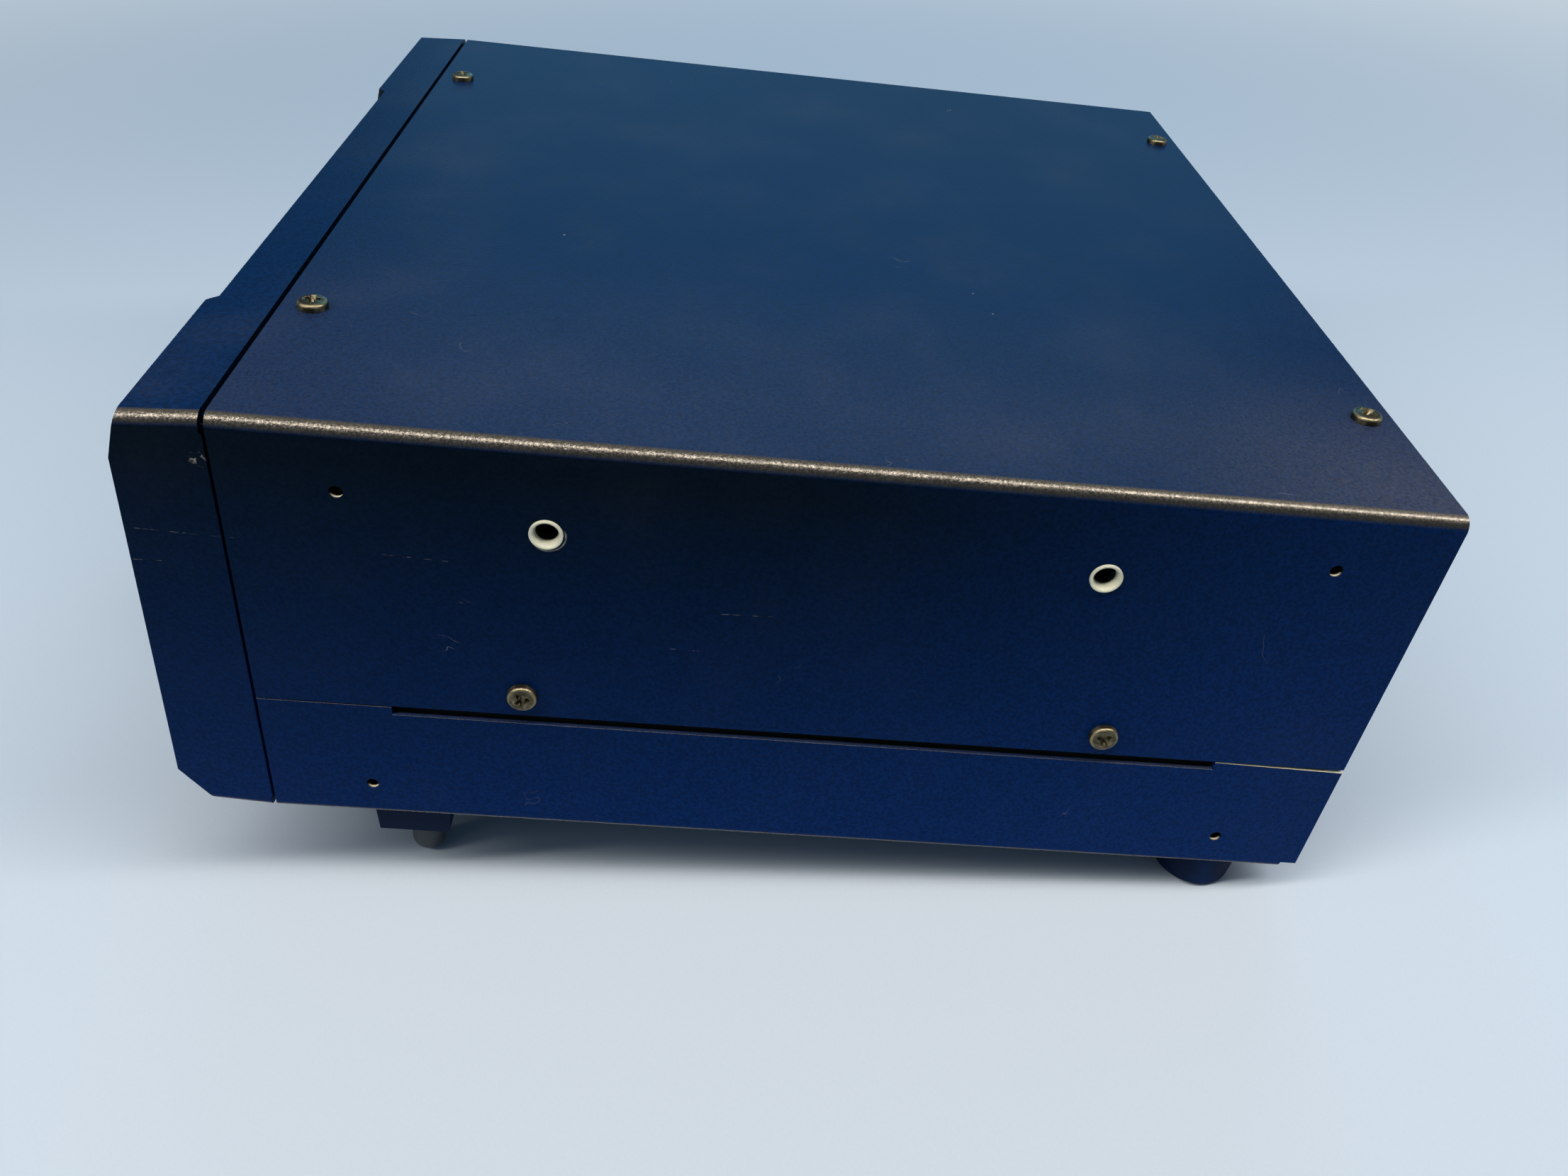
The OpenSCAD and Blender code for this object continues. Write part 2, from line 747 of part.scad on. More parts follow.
// Half section of a bush: a body through the sheet, and a round-lipped flange with a funnel mouth
module bush_profile() {
    inner = sheet_t + rail_gap - fit_gap;
    difference() {
        union() {
            translate([bush_bore_r, -inner]) square([bush_body_r - bush_bore_r, inner + eps]);
            translate([bush_bore_r, 0]) square([bush_flange_r - bush_bore_r, bush_rim - bush_lip_r]);
            translate([bush_bore_r, 0]) square([bush_lip_mid - bush_bore_r, bush_rim]);
            translate([bush_lip_mid, bush_rim - bush_lip_r]) circle(bush_lip_r);
        }
        polygon([[0, 0], [bush_bore_r, 0], [2 * bush_mouth_r - bush_bore_r, 2 * bush_rim], [0, 2 * bush_rim]]);
    }
}

module handle_bushes() color(cream_nylon) {
    both_sides() for (y = BUSH_YS)
        translate([half_w, y, bush_z]) rotate([0, 90, 0]) rotate_extrude() bush_profile();
}

// Chassis

module chassis_frame() color(bare_steel) {
    window_edge = 20;
    difference() {
        union() {
            both_sides() {
                block([wall_x - rail_t, plate_y, sheet_t], [wall_x, rear_y, inner_top]);
                block([wall_x - flange_w, plate_y, sheet_t], [wall_x, rear_y, sheet_t + rail_t]);
                block([wall_x - flange_w, rear_y - rail_t, sheet_t], [wall_x, rear_y, inner_top]);
                for (y = SIDE_SCREW_YS)
                    rod_x(y, side_screw_z, rail_boss_r, wall_x - rail_t / 2, half_w - sheet_t);
            }
            block([-wall_x, plate_y, sheet_t], [wall_x, plate_back, inner_top]);
            block([-wall_x, plate_y, shelf_z], [wall_x, rear_y, shelf_z + rail_t]);
            block([-wall_x, rail_front, inner_top - rail_t], [wall_x, plate_back, inner_top]);
            block([-wall_x, rear_y - rail_rear_d, inner_top - rail_t], [wall_x, rear_y, inner_top]);
            for (p = BOARD_POSTS)
                translate([p.x, p.y, shelf_z]) cylinder(r = standoff_r, h = main_board_z - shelf_z);
        }
        both_sides() {
            for (y = SIDE_SCREW_YS) rod_x(y, side_screw_z, tapped_r, wall_x - rail_t - over, half_w);
            for (y = BUSH_YS) rod_x(y, bush_z, bush_bore_r + wall_room, wall_x - rail_t - over, wall_x + over);
            for (y = BRACKET_YS, z = [bracket_hole_rise, case_h - bracket_hole_drop])
                rod_x(y, z, bracket_hole_r + wall_room, wall_x - rail_t - over, wall_x + over);
            block([window_edge / 2, plate_y - over, shelf_z + window_edge / 2],
                  [wall_x - window_edge, plate_back + over, inner_top - window_edge]);
        }
        for (p = TOP_SCREWS)
            translate([p.x, p.y, inner_top - rail_t - over]) cylinder(r = tapped_r, h = rail_t + 2 * over);
        for (p = BASE_SCREWS) translate([p.x, p.y, 0]) cylinder(r = tapped_r, h = sheet_t + rail_t + over);
        for (p = FOOT_SCREWS) translate([p.x, p.y, 0]) cylinder(r = tapped_r, h = sheet_t + rail_t + over);
        for (p = PILLARS) rod_y(p.x, p.y, screw_hole_r, plate_y - over, plate_back + over);
        for (p = REAR_SCREWS) rod_y(p.x, p.y, tapped_r, rear_y - rail_t - over, rear_y + over);
        for (p = BOARD_POSTS) translate([p.x, p.y, shelf_z - over]) cylinder(r = tapped_r, h = main_board_z);
    }
}

module rear_panel() color(black_paint) {
    y0 = rear_y - over;
    y1 = rear_face + over;
    difference() {
        along_y(rear_y, rear_face) case_outline(sheet_t + fit_gap);
        for (p = REAR_SCREWS) rod_y(p.x, p.y, screw_hole_r, y0, y1);
        for (x = AERIAL_XS) rod_y(x, aerial_z, aerial_r, y0, y1);
        for (x = JACK_XS) rod_y(x, low_row_z, jack_body_r + hole_clear, y0, y1);
        rod_y(dc_x, low_row_z, dc_body_r + hole_clear, y0, y1);
        rod_y(accessory_x, accessory_z, accessory_body_r + hole_clear, y0, y1);
        rod_y(ground_x, low_row_z, stud_r + hole_clear, y0, y1);
    }
}

module rear_panel_screws() color(dark_screw) {
    for (p = REAR_SCREWS) translate([p.x, rear_face, p.y]) rotate([-90, 0, 0]) screw(2 * rail_t + screw_end);
}

// Front panel

// Side view of the moulding
module panel_profile() {
    polygon([[-panel_gap, 0], [-panel_foot_d, panel_draft], [-face_foot_d, foot_chamfer_h],
             [-face_top_d, brow_z], [-panel_top_d, case_h - panel_draft], [-panel_gap, case_h]]);
}

// Side view of what the recess between the ears takes away
module recess_profile() {
    polygon([[-far_front, recess_foot_z], [recess_d - face_d(recess_foot_z), recess_foot_z],
             [recess_d - face_top_d, brow_z], [recess_d - panel_top_d, case_h - panel_draft],
             [recess_d - panel_top_d, case_h + over], [-far_front, case_h + over]]);
}

// Plan view of the recess, with its ends sloping at 45 degrees
module recess_plan() {
    spread = far_front - panel_top_d;
    polygon([[recess_left - spread, -far_front], [recess_left + panel_top_d, 0],
             [recess_right - panel_top_d, 0], [recess_right + spread, -far_front]]);
}

// Side view of the hollow behind a stretch of the face
module hollow_profile(back) {
    top_d = panel_top_d - panel_wall - (ear_back - back);
    polygon([[over, panel_wall], [-panel_foot_d + panel_wall, panel_wall + panel_draft],
             [-back, foot_chamfer_h + hollow_foot],
             [-back, brow_z], [-top_d, case_h - panel_draft - panel_wall], [over, case_h - panel_wall]]);
}

// Outline as wide as the case, rounded at its upper corners (up = 1) or its lower ones (up = -1)
module half_rounded(up) {
    difference() {
        translate([-half_w, up > 0 ? -case_h : 0]) square([case_w, 2 * case_h]);
        both_corners(half_w, up > 0 ? case_h : 0, up > 0 ? bend_r : base_r, up);
    }
}

// The panel's sides, with edges rounded along the falling top and the rising underside
module panel_sides() {
    top_fall = atan2(panel_draft, panel_top_d - panel_gap);
    foot_rise = atan2(panel_draft, panel_foot_d - panel_gap);
    intersection() {
        translate([0, -panel_gap, case_h + eps]) rotate([top_fall, 0, 0]) translate([0, 0, -case_h])
            along_y(-far_front, far_front) half_rounded(1);
        translate([0, -panel_gap, -eps]) rotate([-foot_rise, 0, 0])
            along_y(-far_front, far_front) half_rounded(-1);
    }
}

module panel_shell() {
    side = half_w - panel_wall;
    left = recess_floor_left - ear_room;
    right = recess_floor_right + ear_room;
    difference() {
        intersection() {
            along_x(-case_w, case_w) panel_profile();
            panel_sides();
        }
        intersection() {
            along_x(-half_w, half_w) recess_profile();
            linear_extrude(2 * case_h) recess_plan();
        }
        along_x(-side, left) hollow_profile(ear_back);
        along_x(left - eps, right + eps) hollow_profile(mid_back);
        along_x(right, side) hollow_profile(ear_back);
    }
}

// Lip that the covers close over
module panel_lip() {
    along_y(-panel_gap - lip_root, lip_end) difference() {
        case_outline(lip_inset);
        case_outline(lip_inset + lip_t);
    }
}

module front_panel() color(black_plastic) {
    difference() {
        union() {
            panel_shell();
            panel_lip();
            both_sides() block([half_w - panel_wall, -2 * panel_gap, base_r + panel_draft],
                               [half_w, -cheek_gap, case_h - bend_r - panel_draft]);
            for (p = PILLARS) rod_y(p.x, p.y, pillar_r, -ear_back - boss_root, plate_y);
            for (p = BOARD_BOSSES) rod_y(p.x, p.y, boss_r, -ear_back - boss_root, -board_face);
        }
        for (p = PILLARS) rod_y(p.x, p.y, tapped_r, plate_y - pillar_bore, plate_y + over);
        for (p = BOARD_BOSSES) rod_y(p.x, p.y, tapped_r, -board_face - boss_bore, -board_face + over);
        for (k = KEYS)
            block([k[1] - k[3] / 2 - key_clear, -far_front, k[2] - k[4] / 2 - key_clear],
                  [k[1] + k[3] / 2 + key_clear, over - k[5], k[2] + k[4] / 2 + key_clear]);
        block([recess_mid - window_w / 2 - window_clear, -far_front, window_z - window_h / 2 - window_clear],
              [recess_mid + window_w / 2 + window_clear, over - mid_back, window_top + window_clear]);
        rod_y(dial_x, dial_z, shaft_hole_r, -far_front, over - mid_back);
        for (x = knob_xs) rod_y(x, knob_z, shaft_hole_r, -far_front, over - ear_back);
        rod_y(phones_x, phones_z, phones_bush_r + hole_clear, -far_front, over - ear_back);
        rod_y(phones_x, phones_z, phones_nut_r + phones_nut_room, -far_front, -phones_seat);
    }
}

module front_panel_screws() color(dark_screw) {
    for (p = PILLARS)
        translate([p.x, plate_back, p.y]) rotate([-90, 0, 0]) screw(rail_t + pillar_bore - screw_end);
}

// Display

module display_window() color("#20262b", 0.6) {
    x = window_w / 2;
    z = window_h / 2;
    translate([recess_mid, 0, window_z]) {
        block([-x, -window_face, -z], [x, eps - mid_back, z]);
        block([-x - window_lip, -mid_back, -z - window_lip],
              [x + window_lip, window_flange_t - mid_back, z + window_lip]);
    }
}

module display_module() color("#b8a060") {
    translate([recess_mid, 0, window_z])
        block([-module_w / 2, -module_face, -module_h / 2], [module_w / 2, -board_face, module_h / 2]);
}

// Front board, switches and controls behind the panel

module front_board() color(board_green) {
    y0 = -board_face - over;
    y1 = over - board_back;
    cut_w = phones_body_w / 2 + phones_board_room;
    difference() {
        block([-board_x, -board_face, board_edge], [board_x, -board_back, case_h - board_edge]);
        for (p = PILLARS) rod_y(p.x, p.y, pillar_r + fit_gap, y0, y1);
        for (p = BOARD_BOSSES) rod_y(p.x, p.y, screw_hole_r, y0, y1);
        rod_y(dial_x, dial_z, encoder_bush_r + hair, y0, y1);
        for (x = knob_xs) rod_y(x, knob_z, pot_bush_r + hair, y0, y1);
        block([phones_x - cut_w, y0, phones_z - cut_w], [phones_x + cut_w, y1, phones_z + cut_w]);
    }
}

module key_switches() color("#3a3a3c") {
    for (k = KEYS) {
        block([k[1] - switch_w / 2, -switch_body, k[2] - switch_w / 2],
              [k[1] + switch_w / 2, -board_face, k[2] + switch_w / 2]);
        rod_y(k[1], k[2], plunger_r, -switch_tip, eps - switch_body);
    }
}

module board_screws() color(dark_screw) {
    for (p = BOARD_BOSSES)
        translate([p.x, -board_back, p.y]) rotate([-90, 0, 0]) screw(board_t + boss_bore - screw_end);
    for (p = BOARD_POSTS) translate([p.x, p.y, main_board_z + board_t]) screw(board_t + boss_bore - screw_end);
}

// Control body behind the board, with the bush that its shaft turns in
module rotary_control(x, z, body_r, body_len, bush_r, bush_front) {
    difference() {
        union() {
            rod_y(x, z, body_r, -board_back, body_len - board_back);
            rod_y(x, z, bush_r, -bush_front, eps - board_back);
        }
        rod_y(x, z, shaft_r + shaft_clear, -far_front, body_len - board_back - shaft_end_wall);
    }
}

// Shaft from inside its control to inside its knob, with a flat for the knob
module rotary_shaft(x, z, front, flat_back, body_len) {
    difference() {
        rod_y(x, z, shaft_r, -front, body_len - board_back - shaft_end_wall - fit_gap);
        block([x - shaft_r, -front - over, z + shaft_r - shaft_flat], [x + shaft_r, -flat_back, z + 2 * shaft_r]);
    }
}

// Bore of a knob for the flatted shaft
module knob_bore(x, z, back, depth) {
    r = shaft_r + thread_clear;
    difference() {
        rod_y(x, z, r, -back - depth, over - back);
        block([x - 2 * r, -back - depth - over, z + r - shaft_flat],
              [x + 2 * r, -back - shaft_flat_from, z + 2 * r]);
    }
}

// Turns a profile of radius and height about the axis of a knob, from its back forwards
module knob_turned(x, z, back) {
    translate([x, -back, z]) rotate([90, 0, 0]) rotate_extrude() children();
}

module tuning_encoder() color(nickel) {
    rotary_control(dial_x, dial_z, encoder_r, encoder_len, encoder_bush_r, mid_back - bush_short);
}

module control_pots() color(nickel) {
    for (x = knob_xs) rotary_control(x, knob_z, pot_r, pot_len, pot_bush_r, ear_back - bush_short);
}

module tuning_shaft() color(nickel) {
    rotary_shaft(dial_x, dial_z, dial_back + dial_bore_d - shaft_tip_gap,
                 dial_back + shaft_flat_from, encoder_len);
}

module pot_shaft(x) color(nickel) {
    rotary_shaft(x, knob_z, knob_back + knob_bore_d - shaft_tip_gap, knob_back + shaft_flat_from, pot_len);
}

module tuning_dial() color(black_plastic) {
    edge = 0.6;
    dimple_sphere = (pow(dimple_r, 2) + pow(dimple_depth, 2)) / (2 * dimple_depth);
    dimple_at = dial_rim_r - dimple_r - dimple_edge;
    difference() {
        knob_turned(dial_x, dial_z, dial_back) polygon([
            [0, 0], [dial_r - edge, 0], [dial_r, edge], [dial_r, skirt_t - edge], [dial_r - edge, skirt_t],
            [dial_rim_r, skirt_t], [dial_rim_r, grip_from], [grip_seat_r, grip_from], [grip_seat_r, grip_to],
            [dial_rim_r, grip_to], [dial_rim_r, dial_len - 2 * edge], [dial_rim_r - 2 * edge, dial_len],
            [dial_rim_r - 4 * edge, dial_len], [dial_rim_r - 6 * edge, dial_len - dish_d],
            [0, dial_len - dish_d]]);
        knob_bore(dial_x, dial_z, dial_back, dial_bore_d);
        translate([dial_x - dimple_at * sin(45), dimple_depth + dish_d - dial_front - dimple_sphere,
                   dial_z + dimple_at * cos(45)]) sphere(dimple_sphere);
    }
}

module dial_grip() color(rubber_black) {
    grip_r = dial_rim_r + grip_proud;
    groove_r = 0.6;
    difference() {
        knob_turned(dial_x, dial_z, dial_back)
            translate([grip_seat_r + thread_clear, grip_from + thread_clear])
                square([grip_r - grip_seat_r - thread_clear, grip_to - grip_from - 2 * thread_clear]);
        for (i = [0 : grip_grooves - 1])
            rod_y(dial_x + grip_r * cos(i * 360 / grip_grooves), dial_z + grip_r * sin(i * 360 / grip_grooves),
                  groove_r, -dial_front, -dial_back);
    }
}

module small_knob(x) color(black_plastic) {
    skirt = 2.2;
    waist = knob_r - 1.4;
    rib_r = 0.5;
    edge = 0.4;
    shoulder = 1;
    difference() {
        knob_turned(x, knob_z, knob_back) polygon([
            [0, 0], [knob_r - edge, 0], [knob_r, edge], [knob_r, skirt], [waist, skirt + shoulder],
            [waist, knob_len - shoulder], [waist - shoulder, knob_len], [0, knob_len]]);
        knob_bore(x, knob_z, knob_back, knob_bore_d);
        for (i = [0.5 : knob_ribs])
            rod_y(x + waist * sin(i * 360 / knob_ribs), knob_z + waist * cos(i * 360 / knob_ribs),
                  rib_r, -knob_back - knob_len - over, -knob_back - skirt - shoulder);
        block([x - knob_line_w / 2, -knob_back - knob_len - over, knob_z + knob_line_from],
              [x + knob_line_w / 2, knob_line_d - knob_back - knob_len, knob_z + knob_r]);
    }
}

// Key with chamfered edges, the lip that keeps it in and the stem that meets its switch
module key(k) color(black_plastic) {
    x = k[1];
    z = k[2];
    w = k[3] / 2;
    h = k[4] / 2;
    seat = k[5] - touch_gap;
    front = face_foot_d - (ear_back - k[5]) + key_rise;
    stem_end = switch_tip + k[6] + fit_gap;
    c = cap_chamfer;
    intersection() {
        along_x(x - w, x + w) polygon([
            [-seat, z - h], [c - front, z - h], [-front, z - h + c],
            [-front, z + h - c], [c - front, z + h], [-seat, z + h]]);
        linear_extrude(2 * case_h) polygon([
            [x - w, -seat], [x - w, c - front], [x - w + c, -front],
            [x + w - c, -front], [x + w, c - front], [x + w, -seat]]);
    }
    block([x - w - key_lip, -seat, z - h - key_lip], [x + w + key_lip, lip_thick - seat, z + h + key_lip]);
    if (seat - lip_thick - stem_end > eps)
        block([x - stem_w / 2, lip_thick - seat - eps, z - stem_w / 2],
              [x + stem_w / 2, -stem_end, z + stem_w / 2]);
}

// Headphone socket and the ring nut that holds it
module phones_jack() color(nickel) {
    w = phones_body_w / 2;
    nut_front = phones_seat + phones_nut_t;
    difference() {
        union() {
            rod_y(phones_x, phones_z, phones_bush_r, -nut_front - phones_proud, eps - ear_back);
            block([phones_x - w, -ear_back, phones_z - w], [phones_x + w, phones_body_end, phones_z + w]);
        }
        rod_y(phones_x, phones_z, phones_bore_r, -far_front, phones_body_end - phones_wall);
    }
    difference() {
        rod_y(phones_x, phones_z, phones_nut_r, -nut_front, -phones_seat);
        rod_y(phones_x, phones_z, phones_bush_r + thread_clear, -far_front, 0);
    }
}

// Feet

// Where the leg's stop wall stands at a height, on the right foot
function stop_x(z) = pin_x + leg_stop * cos(leg_lean) + tan(leg_lean) * (pin_z + leg_stop * sin(leg_lean) - z);

module front_foot() {
    half = foot_w / 2;
    difference() {
        union() {
            along_x(foot_out - foot_len, foot_out) polygon([
                [foot_y - half, 0], [foot_y + half, 0],
                [foot_y + half - foot_draft, -foot_h], [foot_y - half + foot_draft, -foot_h]]);
            translate([foot_peg_x, foot_y, -over]) cylinder(r = foot_peg_r, h = over + foot_peg_h);
        }
        along_y(foot_y - leg_slot_w / 2, foot_y + leg_slot_w / 2) polygon([
            [stop_x(over), over], [stop_x(-foot_h - over), -foot_h - over],
            [leg_slot_end, -foot_h - over], [leg_slot_end, over]]);
        rod_y(pin_x, pin_z, pin_r + thread_clear, foot_y - foot_w, foot_y + foot_w);
        translate([foot_screw_x, foot_y, -foot_h - over]) cylinder(r = screw_hole_r, h = foot_h + 2 * over);
        translate([foot_screw_x, foot_y, -foot_h - over])
            cylinder(r = screw_well_r, h = over + foot_h - front_screw_seat);
    }
}

module front_feet() color(black_plastic) {
    both_sides() front_foot();
}

// Right leg, out: its eye turns on the pin and its tip is round
module tilt_leg() {
    shank = leg_len - leg_r;
    translate([pin_x, foot_y, pin_z]) rotate([0, -leg_lean, 0]) difference() {
        union() {
            rotate_extrude() intersection() {
                union() {
                    translate([0, -shank]) square([leg_r, shank]);
                    translate([0, -shank]) circle(leg_r);
                }
                translate([0, -2 * leg_len]) square([leg_len, 2 * leg_len]);
            }
            rod_y(0, 0, leg_eye_r, -leg_eye_w / 2, leg_eye_w / 2);
        }
        rod_y(0, 0, pin_r + shaft_clear, -foot_w, foot_w);
    }
}

module tilt_leg_right() color(leg_grey) tilt_leg();

module tilt_leg_left() color(leg_grey) mirror([1, 0, 0]) tilt_leg();

module leg_pins() color(nickel) {
    both_sides() rod_y(pin_x, pin_z, pin_r, foot_y - pin_half, foot_y + pin_half);
}

module rear_feet() color(rubber_black) {
    edge = rear_foot_r - foot_edge_r;
    both_sides() translate([rear_foot_x, rear_foot_y, 0]) difference() {
        rotate_extrude() {
            polygon([[0, 0], [rear_foot_r + rear_foot_flare, 0], [rear_foot_r, foot_edge_r - rear_foot_h],
                     [edge, -rear_foot_h], [0, -rear_foot_h]]);
            translate([edge, foot_edge_r - rear_foot_h]) circle(foot_edge_r);
        }
        translate([0, 0, -rear_foot_h - over]) cylinder(r = screw_hole_r, h = rear_foot_h + 2 * over);
        translate([0, 0, -rear_foot_h - over])
            cylinder(r = screw_well_r, h = over + rear_foot_h - rear_screw_seat);
    }
}

module foot_screws() color(dark_screw) {
    for (p = FOOT_SCREWS)
        translate([p.x, p.y, -p.z]) rotate([180, 0, 0]) screw(p.z + sheet_t + rail_t + short_screw_end);
}

// Inside

module main_board() color(board_green) {
    difference() {
        block([-main_board_w / 2, main_board_front, main_board_z],
              [main_board_w / 2, main_board_rear, main_board_z + board_t]);
        for (p = BOARD_POSTS) translate([p.x, p.y, 0]) cylinder(r = screw_hole_r, h = case_h);
    }
}

module rf_shield_can() color(bare_steel) {
    base = main_board_z + board_t;
    hole_r = 2;
    difference() {
        block([can_x, can_y, base], [can_x + can_w, can_y + can_d, base + can_h]);
        block([can_x + can_wall, can_y + can_wall, base - over],
              [can_x + can_w - can_wall, can_y + can_d - can_wall, base + can_h - can_wall]);
        for (i = [1, 3], j = [1, 3, 5, 7])
            translate([can_x + i * can_w / 4, can_y + j * can_d / 8, base]) cylinder(r = hole_r, h = can_h + over);
    }
}

module speaker() color("#2a2a2c") {
    magnet_r = 0.55 * speaker_r;
    basket_z = 0.55 * speaker_h;
    cap_z = 0.32 * speaker_h;
    rim = 4;
    flange = 2;
    shoulder = 3;
    paper = 1;
    surround = 1.2;
    translate([speaker_x, speaker_y, sheet_t]) rotate_extrude() polygon([
        [speaker_r - rim, 0], [speaker_r, 0], [speaker_r, flange], [speaker_r - rim, shoulder],
        [magnet_r + shoulder, basket_z], [magnet_r, basket_z], [magnet_r, speaker_h], [0, speaker_h],
        [0, cap_z - paper], [magnet_r / 2, cap_z], [speaker_r - rim - flange, surround]]);
}

// Rear sockets

module antenna_sockets() color(nickel) {
    half = aerial_flange / 2;
    end = rear_face + aerial_len;
    for (x = AERIAL_XS) difference() {
        union() {
            block([x - half, rear_face, aerial_z - half],
                  [x + half, rear_face + aerial_flange_t, aerial_z + half]);
            rod_y(x, aerial_z, aerial_r, rear_face, end);
            rod_y(x, aerial_z, aerial_r - hole_clear, rear_y - socket_back_d, rear_face + eps);
        }
        rod_y(x, aerial_z, aerial_r - aerial_rim, end - aerial_well_d, end + over);
        rod_y(x, aerial_z, contact_bore_r, end - contact_bore_d, end + over);
    }
}

// Collar on the rear panel with a round body behind it
module panel_socket(x, z, collar_r, body_r, body_len) {
    rod_y(x, z, collar_r, rear_face, rear_face + socket_collar_t);
    rod_y(x, z, body_r, rear_face - body_len, rear_face + eps);
}

module dc_socket() color("#26262a") {
    end = rear_face + socket_collar_t;
    difference() {
        panel_socket(dc_x, low_row_z, dc_body_r + socket_collar_w, dc_body_r, dc_depth + socket_end);
        rod_y(dc_x, low_row_z, dc_bore_r, end - dc_depth, end + over);
    }
    rod_y(dc_x, low_row_z, dc_pin_r, end - dc_depth - eps, end - dc_pin_short);
}

module rear_jacks() color("#26262a") {
    end = rear_face + socket_collar_t;
    for (x = JACK_XS) difference() {
        panel_socket(x, low_row_z, jack_body_r + socket_collar_w, jack_body_r, jack_depth + socket_end);
        rod_y(x, low_row_z, jack_bore_r, end - jack_depth, end + over);
    }
}

module accessory_socket() color("#26262a") {
    end = rear_face + socket_collar_t;
    pin_circle = 0.62 * accessory_r;
    difference() {
        panel_socket(accessory_x, accessory_z, accessory_body_r + socket_collar_w, accessory_body_r,
                     accessory_depth + accessory_pin_d + socket_end);
        rod_y(accessory_x, accessory_z, accessory_r, end - accessory_depth, end + over);
        for (a = [-135 : 45 : 135])
            rod_y(accessory_x + pin_circle * sin(a), accessory_z - pin_circle * cos(a), accessory_pin_r,
                  end - accessory_depth - accessory_pin_d, end);
        rod_y(accessory_x, accessory_z, accessory_pin_r, end - accessory_depth - accessory_pin_d, end);
    }
}

module ground_stud() color(nickel) {
    rod_y(ground_x, low_row_z, stud_r, rear_y - stud_back, rear_face + stud_len);
    rod_y(ground_x, low_row_z, 2 * stud_r, rear_face, rear_face + stud_collar_t);
}

module ground_nut() color(nickel) {
    nut_r = 5;
    nut_t = 5;
    ribs = 16;
    rib_r = 0.5;
    seat = rear_face + stud_collar_t;
    difference() {
        rod_y(ground_x, low_row_z, nut_r, seat, seat + nut_t);
        rod_y(ground_x, low_row_z, stud_r + thread_clear, seat - over, seat + nut_t + over);
        for (i = [0 : ribs - 1])
            rod_y(ground_x + nut_r * cos(i * 360 / ribs), low_row_z + nut_r * sin(i * 360 / ribs),
                  rib_r, seat - over, seat + nut_t + over);
    }
}

stand() top_cover();
stand() bottom_cover();
stand() chassis_frame();
stand() rear_panel();
stand() front_panel();
stand() top_cover_screws();
stand() side_cover_screws();
stand() bottom_cover_screws();
stand() rear_panel_screws();
stand() front_panel_screws();
stand() board_screws();
stand() foot_screws();
stand() handle_bushes();
stand() display_window();
stand() display_module();
stand() front_board();
stand() key_switches();
stand() tuning_dial();
stand() dial_grip();
stand() tuning_shaft();
stand() tuning_encoder();
stand() small_knob(knob_xs[0]);  // af_gain_knob
stand() small_knob(knob_xs[1]);  // squelch_knob
stand() pot_shaft(knob_xs[0]);  // af_gain_shaft
stand() pot_shaft(knob_xs[1]);  // squelch_shaft
stand() control_pots();
for (k = KEYS) stand() key(k);
stand() phones_jack();
stand() front_feet();
stand() tilt_leg_left();
stand() tilt_leg_right();
stand() leg_pins();
stand() rear_feet();
stand() main_board();
stand() rf_shield_can();
stand() speaker();
stand() antenna_sockets();
stand() dc_socket();
stand() rear_jacks();
stand() accessory_socket();
stand() ground_stud();
stand() ground_nut();
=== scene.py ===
"""Looks of a table-top communications receiver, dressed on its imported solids.

The file is laid out as an add-on. Property groups hold the sizes and colours that a user would
change, and one operator makes each group of pieces. Lengths are in metres. Places come from the
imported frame: case_box() and solids() read a node in the case's own axes, in which x is to the
operator's right, y runs from the covers' front edge to the rear and z is up from the underside.
"""

import json
import math

import bmesh
import bpy
from bpy.props import FloatProperty, FloatVectorProperty, PointerProperty
from mathutils import Matrix, Vector


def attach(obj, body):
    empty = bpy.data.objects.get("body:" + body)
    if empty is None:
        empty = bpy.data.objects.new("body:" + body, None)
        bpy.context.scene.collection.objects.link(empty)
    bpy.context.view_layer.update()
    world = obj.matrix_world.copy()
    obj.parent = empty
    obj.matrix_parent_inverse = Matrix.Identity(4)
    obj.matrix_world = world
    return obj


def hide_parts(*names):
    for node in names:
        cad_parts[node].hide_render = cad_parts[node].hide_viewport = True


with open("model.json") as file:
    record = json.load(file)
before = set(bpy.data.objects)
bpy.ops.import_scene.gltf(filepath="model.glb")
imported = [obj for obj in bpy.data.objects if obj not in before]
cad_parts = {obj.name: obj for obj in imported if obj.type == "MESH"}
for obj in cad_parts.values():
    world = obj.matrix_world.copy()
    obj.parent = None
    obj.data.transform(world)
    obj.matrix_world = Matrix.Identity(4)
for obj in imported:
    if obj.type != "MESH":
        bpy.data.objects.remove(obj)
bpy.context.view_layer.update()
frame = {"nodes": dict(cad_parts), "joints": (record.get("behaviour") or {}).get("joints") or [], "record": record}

bl_info = {
    "name": "Communications receiver",
    "version": (1, 0, 0),
    "blender": (4, 5, 0),
    "location": "View3D > Sidebar > Receiver",
    "description": "Dresses the packed solids of a table-top communications receiver",
    "category": "Object",
}

MM = 0.001
WELD = 1e-6

